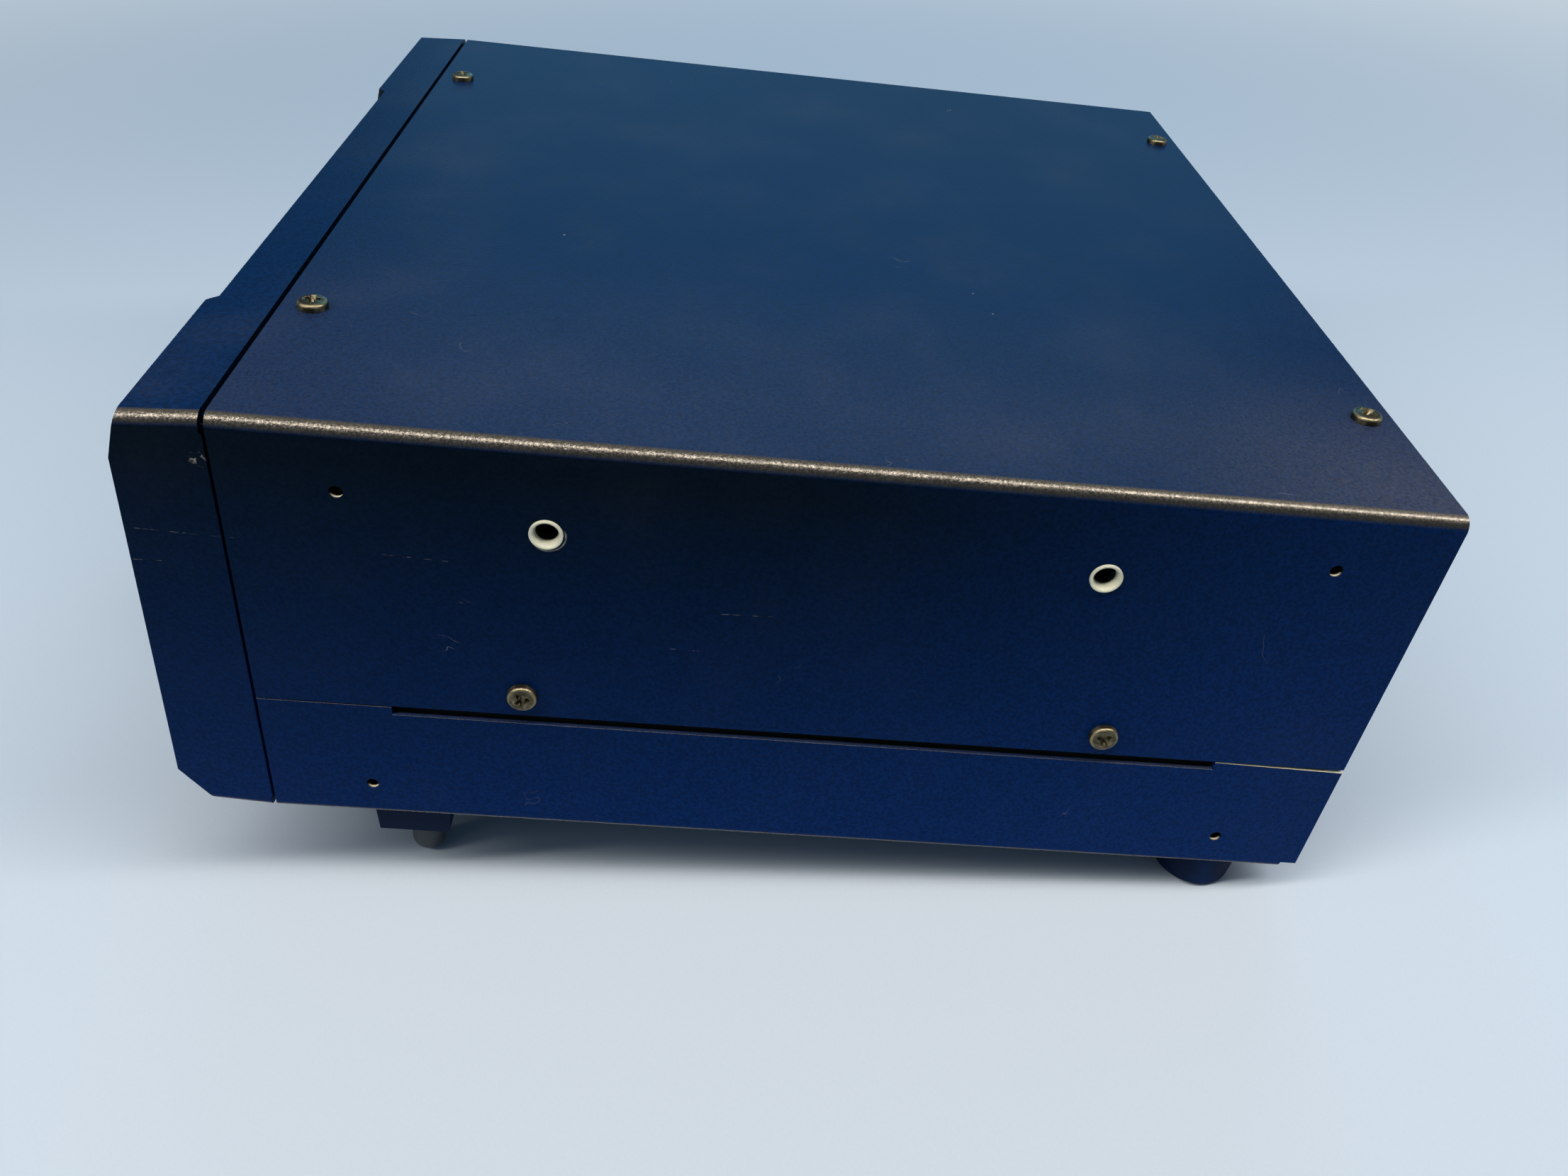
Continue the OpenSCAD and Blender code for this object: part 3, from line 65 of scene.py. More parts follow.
# The case's own axes, read from the leg's hinge and one bracket hole
JOINTS = {joint["name"]: joint for joint in frame["joints"]}
MOUNTS = {mount["name"]: Vector(mount["pos_m"]) for mount in frame["record"]["mounts"]}
REAR = Vector(JOINTS["leg_right_fold"]["axis"])
RISE = Vector((0, -REAR.z, REAR.y))
TILT = math.atan2(-REAR.z, REAR.y)
BRACKET_INSET = 20.5 * MM
BRACKET_RISE = 9 * MM
BRACKET_DROP = 13 * MM
BRACKET = MOUNTS["bracket_right_lower_front"]
CASE_ORIGIN = Vector((0, BRACKET.y, BRACKET.z)) - REAR * BRACKET_INSET - RISE * BRACKET_RISE
CASE = Matrix.Translation(CASE_ORIGIN) @ Matrix.Rotation(-TILT, 4, "X")


def corners_of(points):
    """Lowest and highest corner of a box round points."""
    low = Vector(min(p[i] for p in points) for i in range(3))
    high = Vector(max(p[i] for p in points) for i in range(3))
    return low, high


def case_box(node):
    """Lowest and highest corner of a CAD node in the case's axes."""
    to_case = CASE.inverted()
    return corners_of([to_case @ v.co for v in frame["nodes"][node].data.vertices])


def solids(node):
    """Lowest and highest corner of each separate solid of a CAD node, in the case's axes."""
    shape = bmesh.new()
    shape.from_mesh(frame["nodes"][node].data)
    shape.transform(CASE.inverted())
    bmesh.ops.remove_doubles(shape, verts=shape.verts, dist=WELD)
    boxes = []
    for vert in shape.verts:
        vert.tag = False
    for vert in shape.verts:
        if vert.tag:
            continue
        vert.tag = True
        waiting = [vert]
        island = []
        while waiting:
            here = waiting.pop()
            island.append(here.co.copy())
            for edge in here.link_edges:
                other = edge.other_vert(here)
                if not other.tag:
                    other.tag = True
                    waiting.append(other)
        boxes.append(corners_of(island))
    shape.free()
    return boxes


COVER_HIGH = case_box("top_cover")[1]
CASE_TOP = COVER_HIGH.z
COVER_DEPTH = COVER_HIGH.y
HALF_WIDTH = COVER_HIGH.x
SEAM = case_box("bottom_cover")[1].z

# Stretches over which dust, wear and painted reflection, shade and highlight come in on the covers, in the case's
# axes
TOP_DUST_X = (20 * MM, 118 * MM)
CORNER_DUST_X = (60 * MM, 118 * MM)
CORNER_DUST_Y = (155 * MM, 215 * MM)
BEND_WEAR_AND_HIGHLIGHT_Y = (120 * MM, 200 * MM)
# Side: painted reflection lighter towards the rear, painted shade rising up the side and halved towards the rear
SIDE_TONE_Y = (-20 * MM, 200 * MM)
SIDE_DARK_Y = (90 * MM, 210 * MM)
SIDE_DARK_Z = (4 * MM, 87 * MM)
RAW_EDGE = 30 * MM

# Tapped holes: radius without paint, the paint's lip at the mouth, and the depths that light reaches
TAP_RADIUS = 1.45 * MM
TAP_LIP = 0.25 * MM
TAP_LIGHT = (0.45 * MM, 0.95 * MM)

# Depths in a bush over which its bore turns black with painted shade
BUSH_BORE_SHADE = (1.05 * MM, 1.4 * MM)

# Scratches of the right side as start, end and height in millimetres and a slope, and chipped paint
SCRATCHES = (
    (-17, 1.5, 70, -0.03), (-17, -12, 63, 0.03), (26, 39, 68.3, -0.04), (79, 85.5, 51, 0),
    (88, 99, 60.3, 0.03))
SCRATCH_WIDTH = 0.13 * MM
CHIP_Y, CHIP_Z = -2 * MM, 85.5 * MM
CHIP_REACH = (0.6 * MM, 1.9 * MM)

# Ring worn into the paint by the front bush: its place against the bush, radius and edge
RING_SHIFT_Y, RING_SHIFT_Z = 0.2 * MM, -0.35 * MM
RING_RADIUS = 3.3 * MM
RING_EDGE = (0.1 * MM, 0.2 * MM)
RING_REACH = (0.4 * MM, 2.2 * MM)

# Name, setting of the power, size, place and tint of each lamp, and the point that they face
LAMPS = (
    ("key_lamp", "key_power", (3.2, 0.09), (0.34, 0.05, 0.8), (1, 0.95, 0.88)),
    ("back_lamp", "back_power", (1.3, 1.3), (-1.2, 0.15, 0.9), (0.2, 0.62, 1)),
    ("fill_lamp", "fill_power", (0.8, 0.8), (0.55, -0.95, 0.75), (1, 1, 1)),
)
LAMP_TARGET = Vector((0, 0, 0.05))
SKY_TINT = (0.4, 0.7, 1.0)

# Half the width of the floor, and the stretch over which it turns into the backdrop
FLOOR_HALF = 6
FLOOR_FADE = (0.3, 1.3)


def colour_setting(name, description, default):
    """Property that holds a linear colour."""
    return FloatVectorProperty(
        name=name, description=description, subtype="COLOR", min=0, max=1, default=default)


def length_setting(name, description, default):
    """Property that holds a length."""
    return FloatProperty(name=name, description=description, unit="LENGTH", default=default)


class FinishColours(bpy.types.PropertyGroup):
    """Colours of the receiver's finishes, as linear values."""

    # Paint: black paint with a painted reflection of blue surroundings, which gives its navy tone
    paint: colour_setting("Paint", "Textured paint of the covers and panel", (0.0007, 0.0116, 0.048))
    # Low paint: navy painted reflection of blue surroundings low on the sides
    low_paint_and_reflection: colour_setting(
        "Low paint", "Paint low on the sides, which is worn least", (0.0003, 0.0138, 0.08))
    # High paint: painted shade, nearly black high on the sides under the bends
    high_paint_and_shade: colour_setting(
        "High paint", "Paint high on the sides, darkened by handling", (0.001, 0.0025, 0.0066))
    sheen: colour_setting("Paint sheen", "Tint of the faint gloss on flat paint", (0.1, 0.68, 1.0))
    rubbed: colour_setting(
        "Rubbed paint", "Paint on the bends, rubbed dark and glossy", (0.012, 0.009, 0.006))
    # Worn paint: wear and a painted highlight fringe, lighter brown on the upper part of the bends
    worn: colour_setting("Worn paint", "Paint at the upper start of the bends", (0.085, 0.07, 0.048))
    plastic: colour_setting("Black plastic", "Knobs and sockets", (0.003, 0.0065, 0.013))
    # Foot plastic: black with a navy tint that is a painted reflection of blue light
    foot: colour_setting("Foot plastic", "Feet under the case", (0.0015, 0.008, 0.03))
    key: colour_setting("Key plastic", "Keys and power button", (0.055, 0.06, 0.068))
    nylon: colour_setting("Nylon", "Handle bushes", (0.55, 0.545, 0.45))
    screw: colour_setting("Screw plating", "Dark bronze plating of the screws", (0.21, 0.175, 0.105))
    passivated: colour_setting("Passivated steel", "Chassis sheet and raw edges", (0.8, 0.7, 0.48))
    nickel: colour_setting("Nickel", "Plated shafts and sockets", (0.62, 0.61, 0.58))
    leg: colour_setting("Leg plastic", "Dark grey fold-out legs", (0.05, 0.06, 0.065))
    rubber: colour_setting("Rubber", "Grip of the tuning dial", (0.004, 0.006, 0.01))
    dust: colour_setting("Dust", "Specks, lint and fine marks", (0.46, 0.41, 0.35))


class TrimSizes(bpy.types.PropertyGroup):
    """Sizes of the pieces that dress the solids."""

    head_radius: length_setting("Screw head radius", "Radius of a screw's pan head", 2.95 * MM)
    head_height: length_setting("Screw head height", "Height of a screw's pan head", 2 * MM)
    shank_radius: length_setting("Screw shank radius", "Radius over a screw's thread", 1.45 * MM)
    thread_pitch: length_setting("Screw pitch", "Pitch of a screw's thread", 0.5 * MM)
    edge: length_setting("Edge rounding", "Rounding of the painted edges", 0.18 * MM)
    digit: length_setting("Key digit", "Height of the digits on the keypad", 4.6 * MM)
    print_depth: length_setting("Print thickness", "Thickness of printed marks", 0.06 * MM)


class StageSettings(bpy.types.PropertyGroup):
    """Camera, lamps and floor."""

    lens: FloatProperty(
        name="Lens", description="Focal length on a 36 mm wide sensor", unit="CAMERA", default=29.17)
    azimuth: FloatProperty(
        name="Azimuth", description="Direction of view about the case's upright axis", subtype="ANGLE",
        default=math.radians(84.73))
    elevation: FloatProperty(
        name="Elevation", description="Downward angle of view against the case", subtype="ANGLE",
        default=math.radians(36.92))
    roll: FloatProperty(
        name="Roll", description="Roll of the camera", subtype="ANGLE", default=math.radians(7.51))
    eye: FloatVectorProperty(
        name="Eye", description="Place of the camera in the case's axes", subtype="TRANSLATION",
        default=(306.6 * MM, 82.8 * MM, 208 * MM))
    floor: colour_setting("Floor", "Colour of the floor", (0.52, 0.58, 0.65))
    backdrop: colour_setting(
        "Backdrop", "Plain colour that the camera sees beyond the floor", (0.6, 0.68, 0.75))
    key_power: FloatProperty(
        name="Key lamp", description="Power of the strip lamp overhead, in watts", default=20)
    back_power: FloatProperty(
        name="Back lamp", description="Power of the wide lamp behind the left side, in watts", default=6.2)
    fill_power: FloatProperty(
        name="Fill lamp", description="Power of the lamp at the front, in watts", default=1.5)
    sky: FloatProperty(
        name="Sky", description="Strength of the even light all round", default=0.2)


def colours():
    """Colours that the user has set."""
    return bpy.context.scene.receiver_colours


def sizes():
    """Sizes that the user has set."""
    return bpy.context.scene.receiver_sizes


class Wire:
    """A shader socket that joins in Python arithmetic by adding Math nodes."""

    def __init__(self, finish, socket):
        self.finish = finish
        self.socket = socket

    def _math(self, operation, first, second=0.0):
        return self.finish.node("Math", {"operation": operation}, {0: first, 1: second})

    def __add__(self, other):
        return self._math("ADD", self, other)

    def __radd__(self, other):
        return self._math("ADD", other, self)

    def __sub__(self, other):
        return self._math("SUBTRACT", self, other)

    def __rsub__(self, other):
        return self._math("SUBTRACT", other, self)

    def __mul__(self, other):
        return self._math("MULTIPLY", self, other)

    def __rmul__(self, other):
        return self._math("MULTIPLY", other, self)

    def __pow__(self, other):
        return self._math("POWER", self, other)

    def __rpow__(self, other):
        return self._math("POWER", other, self)

    def __lt__(self, other):
        return self._math("LESS_THAN", self, other)

    def __gt__(self, other):
        return self._math("GREATER_THAN", self, other)

    def __abs__(self):
        return self._math("ABSOLUTE", self)

    def __or__(self, other):
        return self._math("MAXIMUM", self, other)

    def __ror__(self, other):
        return self._math("MAXIMUM", other, self)


class Finish:
    """A material, or the world, under construction."""

    def __init__(self, name, store=None):
        store = bpy.data.materials if store is None else store
        self.material = store.new(name)
        self.material.use_nodes = True
        self.tree = self.material.node_tree
        self.tree.nodes.clear()
        self.place = self.node("TexCoord", output="Object")

    def node(self, kind, settings=None, inputs=None, output=0):
        """Adds a node, sets it up, feeds its sockets and returns one of its outputs, if it has any."""
        made = self.tree.nodes.new("ShaderNode" + kind)
        for name, value in (settings or {}).items():
            setattr(made, name, value)
        for name, value in (inputs or {}).items():
            socket = made.inputs[name]
            if isinstance(value, Wire):
                self.tree.links.new(value.socket, socket)
            elif socket.type == "RGBA":
                socket.default_value = (*value, 1.0)
            else:
                socket.default_value = value
        return Wire(self, made.outputs[output]) if made.outputs else None

    def noise(self, scale, detail=2.0, distortion=0.0, place=None):
        """Cloudy values about 0.5, with scale in waves per metre."""
        feed = {"Vector": place or self.place, "Scale": scale, "Detail": detail, "Distortion": distortion}
        return self.node("TexNoise", None, feed, "Fac")

    def step(self, value, low, high, kind="SMOOTHSTEP"):
        """Smooth or linear rise from 0 at low to 1 at high."""
        feed = {"Value": value, "From Min": low, "From Max": high}
        return self.node("MapRange", {"interpolation_type": kind}, feed)

    def mix(self, share, first, second):
        """Colour between two colours."""
        return self.node("Mix", {"data_type": "RGBA"}, {0: share, 6: first, 7: second}, 2)

    def multiply(self, first, second):
        """Product of two colours."""
        feed = {0: 1.0, 6: first, 7: second}
        return self.node("Mix", {"data_type": "RGBA", "blend_type": "MULTIPLY"}, feed, 2)

    def stretched(self, scale):
        """Object coordinates with a scale of their own on each axis."""
        return self.node("Mapping", None, {"Vector": self.place, "Scale": scale})

    def case_axes(self):
        """Surface place in the case's axes, as x, y and z."""
        feed = {"Vector": self.place, "Location": CASE_ORIGIN, "Rotation": (-TILT, 0, 0)}
        turned = self.node("Mapping", {"vector_type": "TEXTURE"}, feed)
        return [self.node("SeparateXYZ", None, {"Vector": turned}, axis) for axis in "XYZ"]

    def facing(self, axis):
        """Share of the surface's own normal along X, Y or Z."""
        return self.node("SeparateXYZ", None, {"Vector": self.node("TexCoord", output="Normal")}, axis)

    def bend_share(self):
        """1 on the rounded bends between the sides and the top or bottom, which hands rub smooth."""
        across = self.step(abs(self.facing("X")), 0.12, 0.4)
        upright = self.step(abs(self.facing("Z")), 0.18, 0.5)
        return across * upright

    def bump(self, height, distance, strength=1.0):
        """Normal of a surface raised by height times distance."""
        feed = {"Height": height, "Distance": distance, "Strength": strength}
        return self.node("Bump", None, feed, "Normal")

    def specks(self, cells, radius, share):
        """Small round spots, one in a share of the cells of a random grid."""
        feed = {"Vector": self.place, "Scale": cells}
        distance = self.node("TexVoronoi", None, feed, "Distance")
        colour = self.node("TexVoronoi", None, feed, "Color")
        lottery = self.node("SeparateXYZ", None, {"Vector": colour}, "X")
        return (1 - self.step(distance, radius * cells * 0.5, radius * cells)) * (lottery > 1 - share)

    def hairs(self, spread, width, share):
        """Short curved lines like lint and hairline scratches."""
        wander = self.noise(spread, 1.0, 2.0)
        line = 1 - self.step(abs(wander - 0.5), 0, width * spread)
        patch = self.step(self.noise(spread * 0.8, 1.0), share, share + 0.04)
        return line * patch

    def principled(self, **inputs):
        """A principled shader, with sockets named with underscores for spaces."""
        feed = {name.replace("_", " "): value for name, value in inputs.items()}
        return self.node("BsdfPrincipled", None, feed)

    def surface(self, **inputs):
        """Ends the material with one principled shader."""
        return self.end(self.principled(**inputs))

    def layered(self, share, first, second, output="OutputMaterial"):
        """Ends the material or world with a share of a second shader over a first one."""
        return self.end(self.node("MixShader", None, {0: share, 1: first, 2: second}), output)

    def end(self, shader, output="OutputMaterial"):
        """Links a shader to the output and returns the material or world."""
        self.node(output, None, {"Surface": shader})
        return self.material


def shade(colour, factor):
    """A colour made lighter or darker."""
    return tuple(min(1.0, c * factor) for c in colour)


def textured_paint(name, thread_height=None, raw_seam=False, scuffs=False):
    """Leathery paint with dust and wear, bare metal in tapped holes and on a cut edge, and painted reflection,
    light and shade.
    """
    tone = colours()
    f = Finish(name)
    place = f.case_axes()
    leather = f.noise(1400, 1.5)
    dusty = paint_dust(f, place)
    if scuffs:
        dusty = dusty + side_marks(f, place)
    mottle = f.noise(9, 4.0) * 0.4 + f.step(leather, 0.3, 0.7) * 0.6
    # The sides take a painted reflection and painted shade, the top and underside a navy painted reflection
    paint = f.mix(f.step(abs(f.facing("Z")), 0.1, 0.5), side_reflection_and_shade(f, place), tone.paint)
    paint = f.multiply(paint, f.mix(mottle, (0.6,) * 3, (1.4,) * 3))
    paint = f.mix(dusty, paint, tone.dust)
    bare = bare_share(f, place, thread_height, raw_seam)
    matt = f.principled(
        Base_Color=f.mix(bare, paint, bare_metal(f, place)), Metallic=bare * 0.2,
        Roughness=0.34 + leather * 0.12 + dusty * 0.3, Specular_IOR_Level=0.06, Specular_Tint=tone.sheen,
        Normal=f.bump(leather + f.noise(4600, 1.0) * 0.2, 0.09 * MM, 0.6))
    return f.layered(f.bend_share(), matt, rubbed_bend(f, place))


def paint_dust(f, place):
    """Dust on the paint: a film, handling on the right and the rear corner of the top, specks and lint."""
    x, y = place[:2]
    level = f.step(f.facing("Z"), 0.6, 0.9)
    film = f.step(f.noise(34, 5.0), 0.4, 0.9) * f.noise(900, 2.0) * (0.01 + level * 0.025)
    corner = f.step(x, *CORNER_DUST_X) * f.step(y, *CORNER_DUST_Y)
    handled = (0.1 + f.step(x, *TOP_DUST_X) * 0.9 + corner * 1.8) * level * (y > 0)
    marks = f.specks(95, 0.3 * MM, 0.17) * 0.6 + f.hairs(70, 0.05 * MM, 0.72) * 0.4
    return film + handled * f.noise(1700, 2.0) * 0.05 + marks


def side_reflection_and_shade(f, place):
    """Side paint, navy near the underside as painted reflection and nearly black under the bend as painted shade,
    less so at the rear.
    """
    y, z = place[1:]
    tone = colours()
    low = f.mix(f.step(y, *SIDE_TONE_Y), shade(tone.low_paint_and_reflection, 0.8), shade(tone.low_paint_and_reflection, 1.1))
    high = f.step(z, *SIDE_DARK_Z, "LINEAR") * (1 - f.step(y, *SIDE_DARK_Y) * 0.5)
    return f.mix(high, low, tone.high_paint_and_shade)


def bare_share(f, place, thread_height, raw_seam):
    """1 where no paint is: in tapped holes at a height, and on the rear of the seam's cut edge."""
    x, y, z = place
    bare = 0.0
    if thread_height is not None:
        along = abs(y - COVER_DEPTH / 2) - (COVER_DEPTH / 2 - BRACKET_INSET)
        bare = (along ** 2 + (z - thread_height) ** 2) ** 0.5 < TAP_RADIUS
        bare = bare * (abs(x) < HALF_WIDTH - TAP_LIP)
    if raw_seam:
        cut = f.step(f.facing("Z"), 0.7, 0.9) * (abs(z - SEAM) < MM) * (y > COVER_DEPTH - RAW_EDGE)
        bare = cut | bare
    return bare


def bare_metal(f, place):
    """Passivated sheet with painted light where it faces up at the mouth of a hole and on cut edges, and painted
    shade down the hole and where it faces away from above.
    """
    tone = colours().passivated
    metal = f.mix(f.noise(240, 3.0), shade(tone, 0.8), shade(tone, 1.25))
    lit = f.step(f.facing("Z"), 0.3, 0.95) * (1 - f.step(HALF_WIDTH - abs(place[0]), *TAP_LIGHT))
    return f.mix(lit, shade(tone, 0.01), metal)


def rubbed_bend(f, place):
    """Shader of the rubbed bends, grainy and glossy, smoother at the rear, and lighter brown on their upper part
    as wear and a painted highlight fringe.
    """
    tone = colours()
    sparkle = f.noise(2300, 1.0)
    rear = f.step(place[1], *BEND_WEAR_AND_HIGHLIGHT_Y)
    # Upward-facing part of the bends lighter brown, more at the rear: wear and a painted highlight fringe
    worn = f.step(f.facing("Z"), 0.6, 0.95) * (0.5 + rear * 0.5)
    return f.principled(
        Base_Color=f.mix(worn, tone.rubbed, tone.worn),
        Roughness=0.22 + f.step(sparkle, 0.35, 0.65) * 0.14, IOR=1.58, Specular_IOR_Level=0.86,
        Specular_Tint=(1, 0.9, 0.78), Normal=f.bump(sparkle * (1 - rear * 0.65), 0.058 * MM, 1.0))


def side_marks(f, place):
    """Scratches, chips and a worn ring on the right side alone."""
    x, y, z = place
    marks = scratches(f, y, z) + chips(f, y, z) + worn_ring(f, y, z)
    return marks * f.step(x, HALF_WIDTH - MM, HALF_WIDTH)


def scratches(f, y, z):
    """Broken scratches along the side."""
    broken = f.step(f.noise(700, 5.0), 0.44, 0.66)
    total = 0.0
    for start, end, height, slope in SCRATCHES:
        offset = abs(z - height * MM - (y - start * MM) * slope)
        line = 1 - f.step(offset, 0, SCRATCH_WIDTH)
        total = line * (y > start * MM) * (y < end * MM) * broken * 0.2 + total
    return total


def chips(f, y, z):
    """Chipped paint at the top of the gap behind the panel."""
    nick = ((y - CHIP_Y) ** 2 + (z - CHIP_Z) ** 2) ** 0.5
    return f.step(f.noise(1300, 2.0), 0.52, 0.66) * (1 - f.step(nick, *CHIP_REACH)) * 0.4


def worn_ring(f, y, z):
    """Part of a ring, worn into the paint below and behind the front bush."""
    low, high = min((box for box in solids("handle_bushes") if box[0].x > 0), key=lambda box: box[0].y)
    across = y - (low.y + high.y) / 2 - RING_SHIFT_Y
    down = (low.z + high.z) / 2 + RING_SHIFT_Z - z
    ring = 1 - f.step(abs((across ** 2 + down ** 2) ** 0.5 - RING_RADIUS), *RING_EDGE)
    return ring * f.step(across * 0.7 + down, *RING_REACH) * f.noise(900, 2.0) * 0.8


def moulded_plastic(name, colour, roughness, grain=1500, gloss=0.25):
    """Moulded plastic with a spark-eroded grain and a little dust."""
    f = Finish(name)
    texture = f.noise(grain, 2.0)
    cloud = f.noise(45, 3.0)
    dusty = f.specks(190, 0.16 * MM, 0.12) * 0.4 + f.step(f.noise(70, 4.0), 0.55, 0.8) * 0.04
    body = f.mix(cloud, shade(colour, 0.85), shade(colour, 1.18))
    return f.surface(
        Base_Color=f.mix(dusty, body, colours().dust), Roughness=roughness + texture * 0.12 + dusty * 0.2,
        Specular_IOR_Level=gloss, Normal=f.bump(texture, 0.03 * MM, 0.4))


def soft_rubber(name, colour):
    """Matt rubber with a bloom of dust."""
    f = Finish(name)
    texture = f.noise(2600, 3.0)
    bloom = f.step(f.noise(120, 5.0), 0.45, 0.8)
    body = f.mix(bloom, colour, shade(colour, 2.4))
    return f.surface(
        Base_Color=body, Roughness=0.72 + bloom * 0.15, Specular_IOR_Level=0.08,
        Normal=f.bump(texture, 0.04 * MM, 0.5))


def plated_metal(name, colour, roughness):
    """Plated metal with fine drawn lines and patches of tarnish."""
    f = Finish(name)
    drawn = f.noise(1, 3.0, 0.0, f.stretched((90, 90, 900)))
    patch = f.step(f.noise(420, 4.0), 0.4, 0.75)
    tone = f.mix(patch * 0.35, shade(colour, 1.2), shade(colour, 0.35))
    return f.surface(
        Base_Color=tone, Metallic=1.0, Roughness=roughness + patch * 0.18 + drawn * 0.1,
        Normal=f.bump(drawn, 0.01 * MM, 0.4))


def screw_plating(name):
    """Bronze plating, lighter on the rounded edges of the heads as painted highlight and darker on their flat
    faces as painted shade, with grime.
    """
    colour = colours().screw
    f = Finish(name)
    grime = f.step(f.noise(900, 4.0), 0.42, 0.6)
    flat = abs(f.facing("X")) | abs(f.facing("Y")) | abs(f.facing("Z"))
    # Flat faces darker as painted shade and rounded edges lighter as painted highlight, varied by grime
    face = f.step(flat, 0.85, 0.97) * (0.7 + grime * 0.3)
    return f.surface(
        Base_Color=f.mix(face, shade(colour, 1.25), shade(colour, 0.3)), Metallic=1.0,
        Roughness=0.36 + grime * 0.16, Normal=f.bump(grime, 0.01 * MM, 0.4))


def passivated_steel(name):
    """Yellow-passivated sheet with a faint rainbow and rolling lines."""
    tone = [c * shine for c, shine in zip(colours().passivated, (0.42, 0.44, 0.55))]
    f = Finish(name)
    rolled = f.noise(1, 3.0, 0.0, f.stretched((900, 30, 900)))
    pink = (tone[0], tone[1] * 0.92, tone[2] * 1.15)
    green = (tone[0] * 0.86, tone[1], tone[2] * 0.86)
    tint = f.mix(f.step(f.noise(28, 3.0), 0.32, 0.7, "LINEAR"), pink, green)
    return f.surface(
        Base_Color=tint, Metallic=0.9, Roughness=0.36 + rolled * 0.16,
        Normal=f.bump(rolled, 0.008 * MM, 0.4))


def white_print(name, tone=(0.62, 0.63, 0.62)):
    """Screen-printed ink, a little broken in its cover."""
    f = Finish(name)
    cover = f.noise(1800, 3.0)
    return f.surface(
        Base_Color=f.mix(cover, shade(tone, 0.82), shade(tone, 1.1)), Roughness=0.55 + cover * 0.2,
        Normal=f.bump(cover, 0.01 * MM, 0.3))


def bush_nylon(name):
    """Natural nylon, yellowed in patches, scuffed on its rim and dark down its bore as painted shade."""
    tone = colours().nylon
    f = Finish(name)
    aged = f.noise(260, 3.0)
    scuff = f.step(f.noise(1500, 3.0), 0.56, 0.72)
    # Painted shade down the bore
    bore_shade = f.step(HALF_WIDTH - abs(f.case_axes()[0]), *BUSH_BORE_SHADE)
    body = f.mix(aged, tone, (tone[0] * 0.94, tone[1] * 0.9, tone[2] * 0.74))
    body = f.mix(scuff * 0.35, body, shade(tone, 0.55))
    return f.surface(
        Base_Color=f.mix(bore_shade, body, shade(tone, 0.015)), Roughness=0.32 + scuff * 0.25 + bore_shade * 0.3,
        Normal=f.bump(scuff, 0.02 * MM, 0.4))


def smoked_window(name):
    """Smoked clear window with faint wiping marks."""
    f = Finish(name)
    wiped = f.noise(1, 3.0, 0.5, f.stretched((30, 30, 420)))
    return f.surface(
        Base_Color=(0.012, 0.014, 0.016), Roughness=0.06 + wiped * 0.06, Alpha=0.3 + wiped * 0.05,
        Coat_Weight=0.6, Coat_Roughness=0.05)


def display_glass(name):
    """Liquid crystal panel that is switched off."""
    f = Finish(name)
    cell = f.noise(3200, 1.0)
    cloud = f.noise(26, 3.0)
    body = f.mix(cloud, (0.16, 0.19, 0.13), (0.22, 0.25, 0.17))
    return f.surface(
        Base_Color=f.mix(cell * 0.2, body, (0.1, 0.12, 0.09)), Roughness=0.28 + cell * 0.1, Coat_Weight=0.3)


def circuit_board(name):
    """Solder resist over copper tracks, with tinned pads."""
    f = Finish(name)
    cells = {"Vector": f.place, "Scale": 420}
    tracks = f.node("TexVoronoi", {"distance": "MANHATTAN"}, cells, "Distance")
    copper = f.step(tracks, 0.34, 0.42)
    pads = f.specks(300, 0.6 * MM, 0.3)
    resist = f.mix(copper, (0.02, 0.1, 0.035), (0.035, 0.17, 0.06))
    return f.surface(
        Base_Color=f.mix(pads, resist, (0.62, 0.6, 0.56)), Metallic=pads * 0.9,
        Roughness=0.35 + copper * 0.15, Normal=f.bump(copper + pads, 0.03 * MM, 0.6))


def speaker_paper(name):
    """Pressed black paper and lacquered steel."""
    f = Finish(name)
    fibre = f.noise(1700, 5.0)
    return f.surface(
        Base_Color=f.mix(fibre, (0.018, 0.018, 0.02), (0.05, 0.05, 0.052)), Roughness=0.7 + fibre * 0.2,
        Normal=f.bump(fibre, 0.05 * MM, 0.5))


def dress(finish, *nodes):
    """Gives CAD nodes a finish."""
    for name in nodes:
        node = frame["nodes"][name]
        if not node.material_slots:
            node.data.materials.append(finish)
        for held in node.material_slots:
            held.material = finish


def soften(width, *nodes):
    """Rounds the sharp edges of CAD nodes by a small bevel, as paint and moulding do."""
    for name in nodes:
        node = frame["nodes"][name]
        weld = node.modifiers.new("weld", "WELD")
        weld.merge_threshold = WELD
        flat = node.modifiers.new("flat", "DECIMATE")
        flat.decimate_type = "DISSOLVE"
        flat.angle_limit = math.radians(0.4)
        bevel = node.modifiers.new("edge", "BEVEL")
        bevel.width = width
        bevel.segments = 2
        bevel.limit_method = "ANGLE"
        bevel.angle_limit = math.radians(38)
        normals = node.modifiers.new("normals", "WEIGHTED_NORMAL")
        normals.keep_sharp = False


def add_piece(name, mesh, finish, body, replaces=()):
    """Links a finished mesh to the scene and lets it ride on a body."""
    piece = bpy.data.objects.new(name, mesh)
    bpy.context.scene.collection.objects.link(piece)
    mesh.materials.clear()
    mesh.materials.append(finish)
    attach(piece, body)
    if replaces:
        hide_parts(*replaces)


def finished_mesh(name, shape, smooth=35):
    """Mesh of a bmesh, smooth but for edges sharper than an angle in degrees."""
    bmesh.ops.recalc_face_normals(shape, faces=shape.faces)
    mesh = bpy.data.meshes.new(name)
    shape.to_mesh(mesh)
    shape.free()
    mesh.shade_smooth()
    mesh.set_sharp_from_angle(angle=math.radians(smooth))
    return mesh


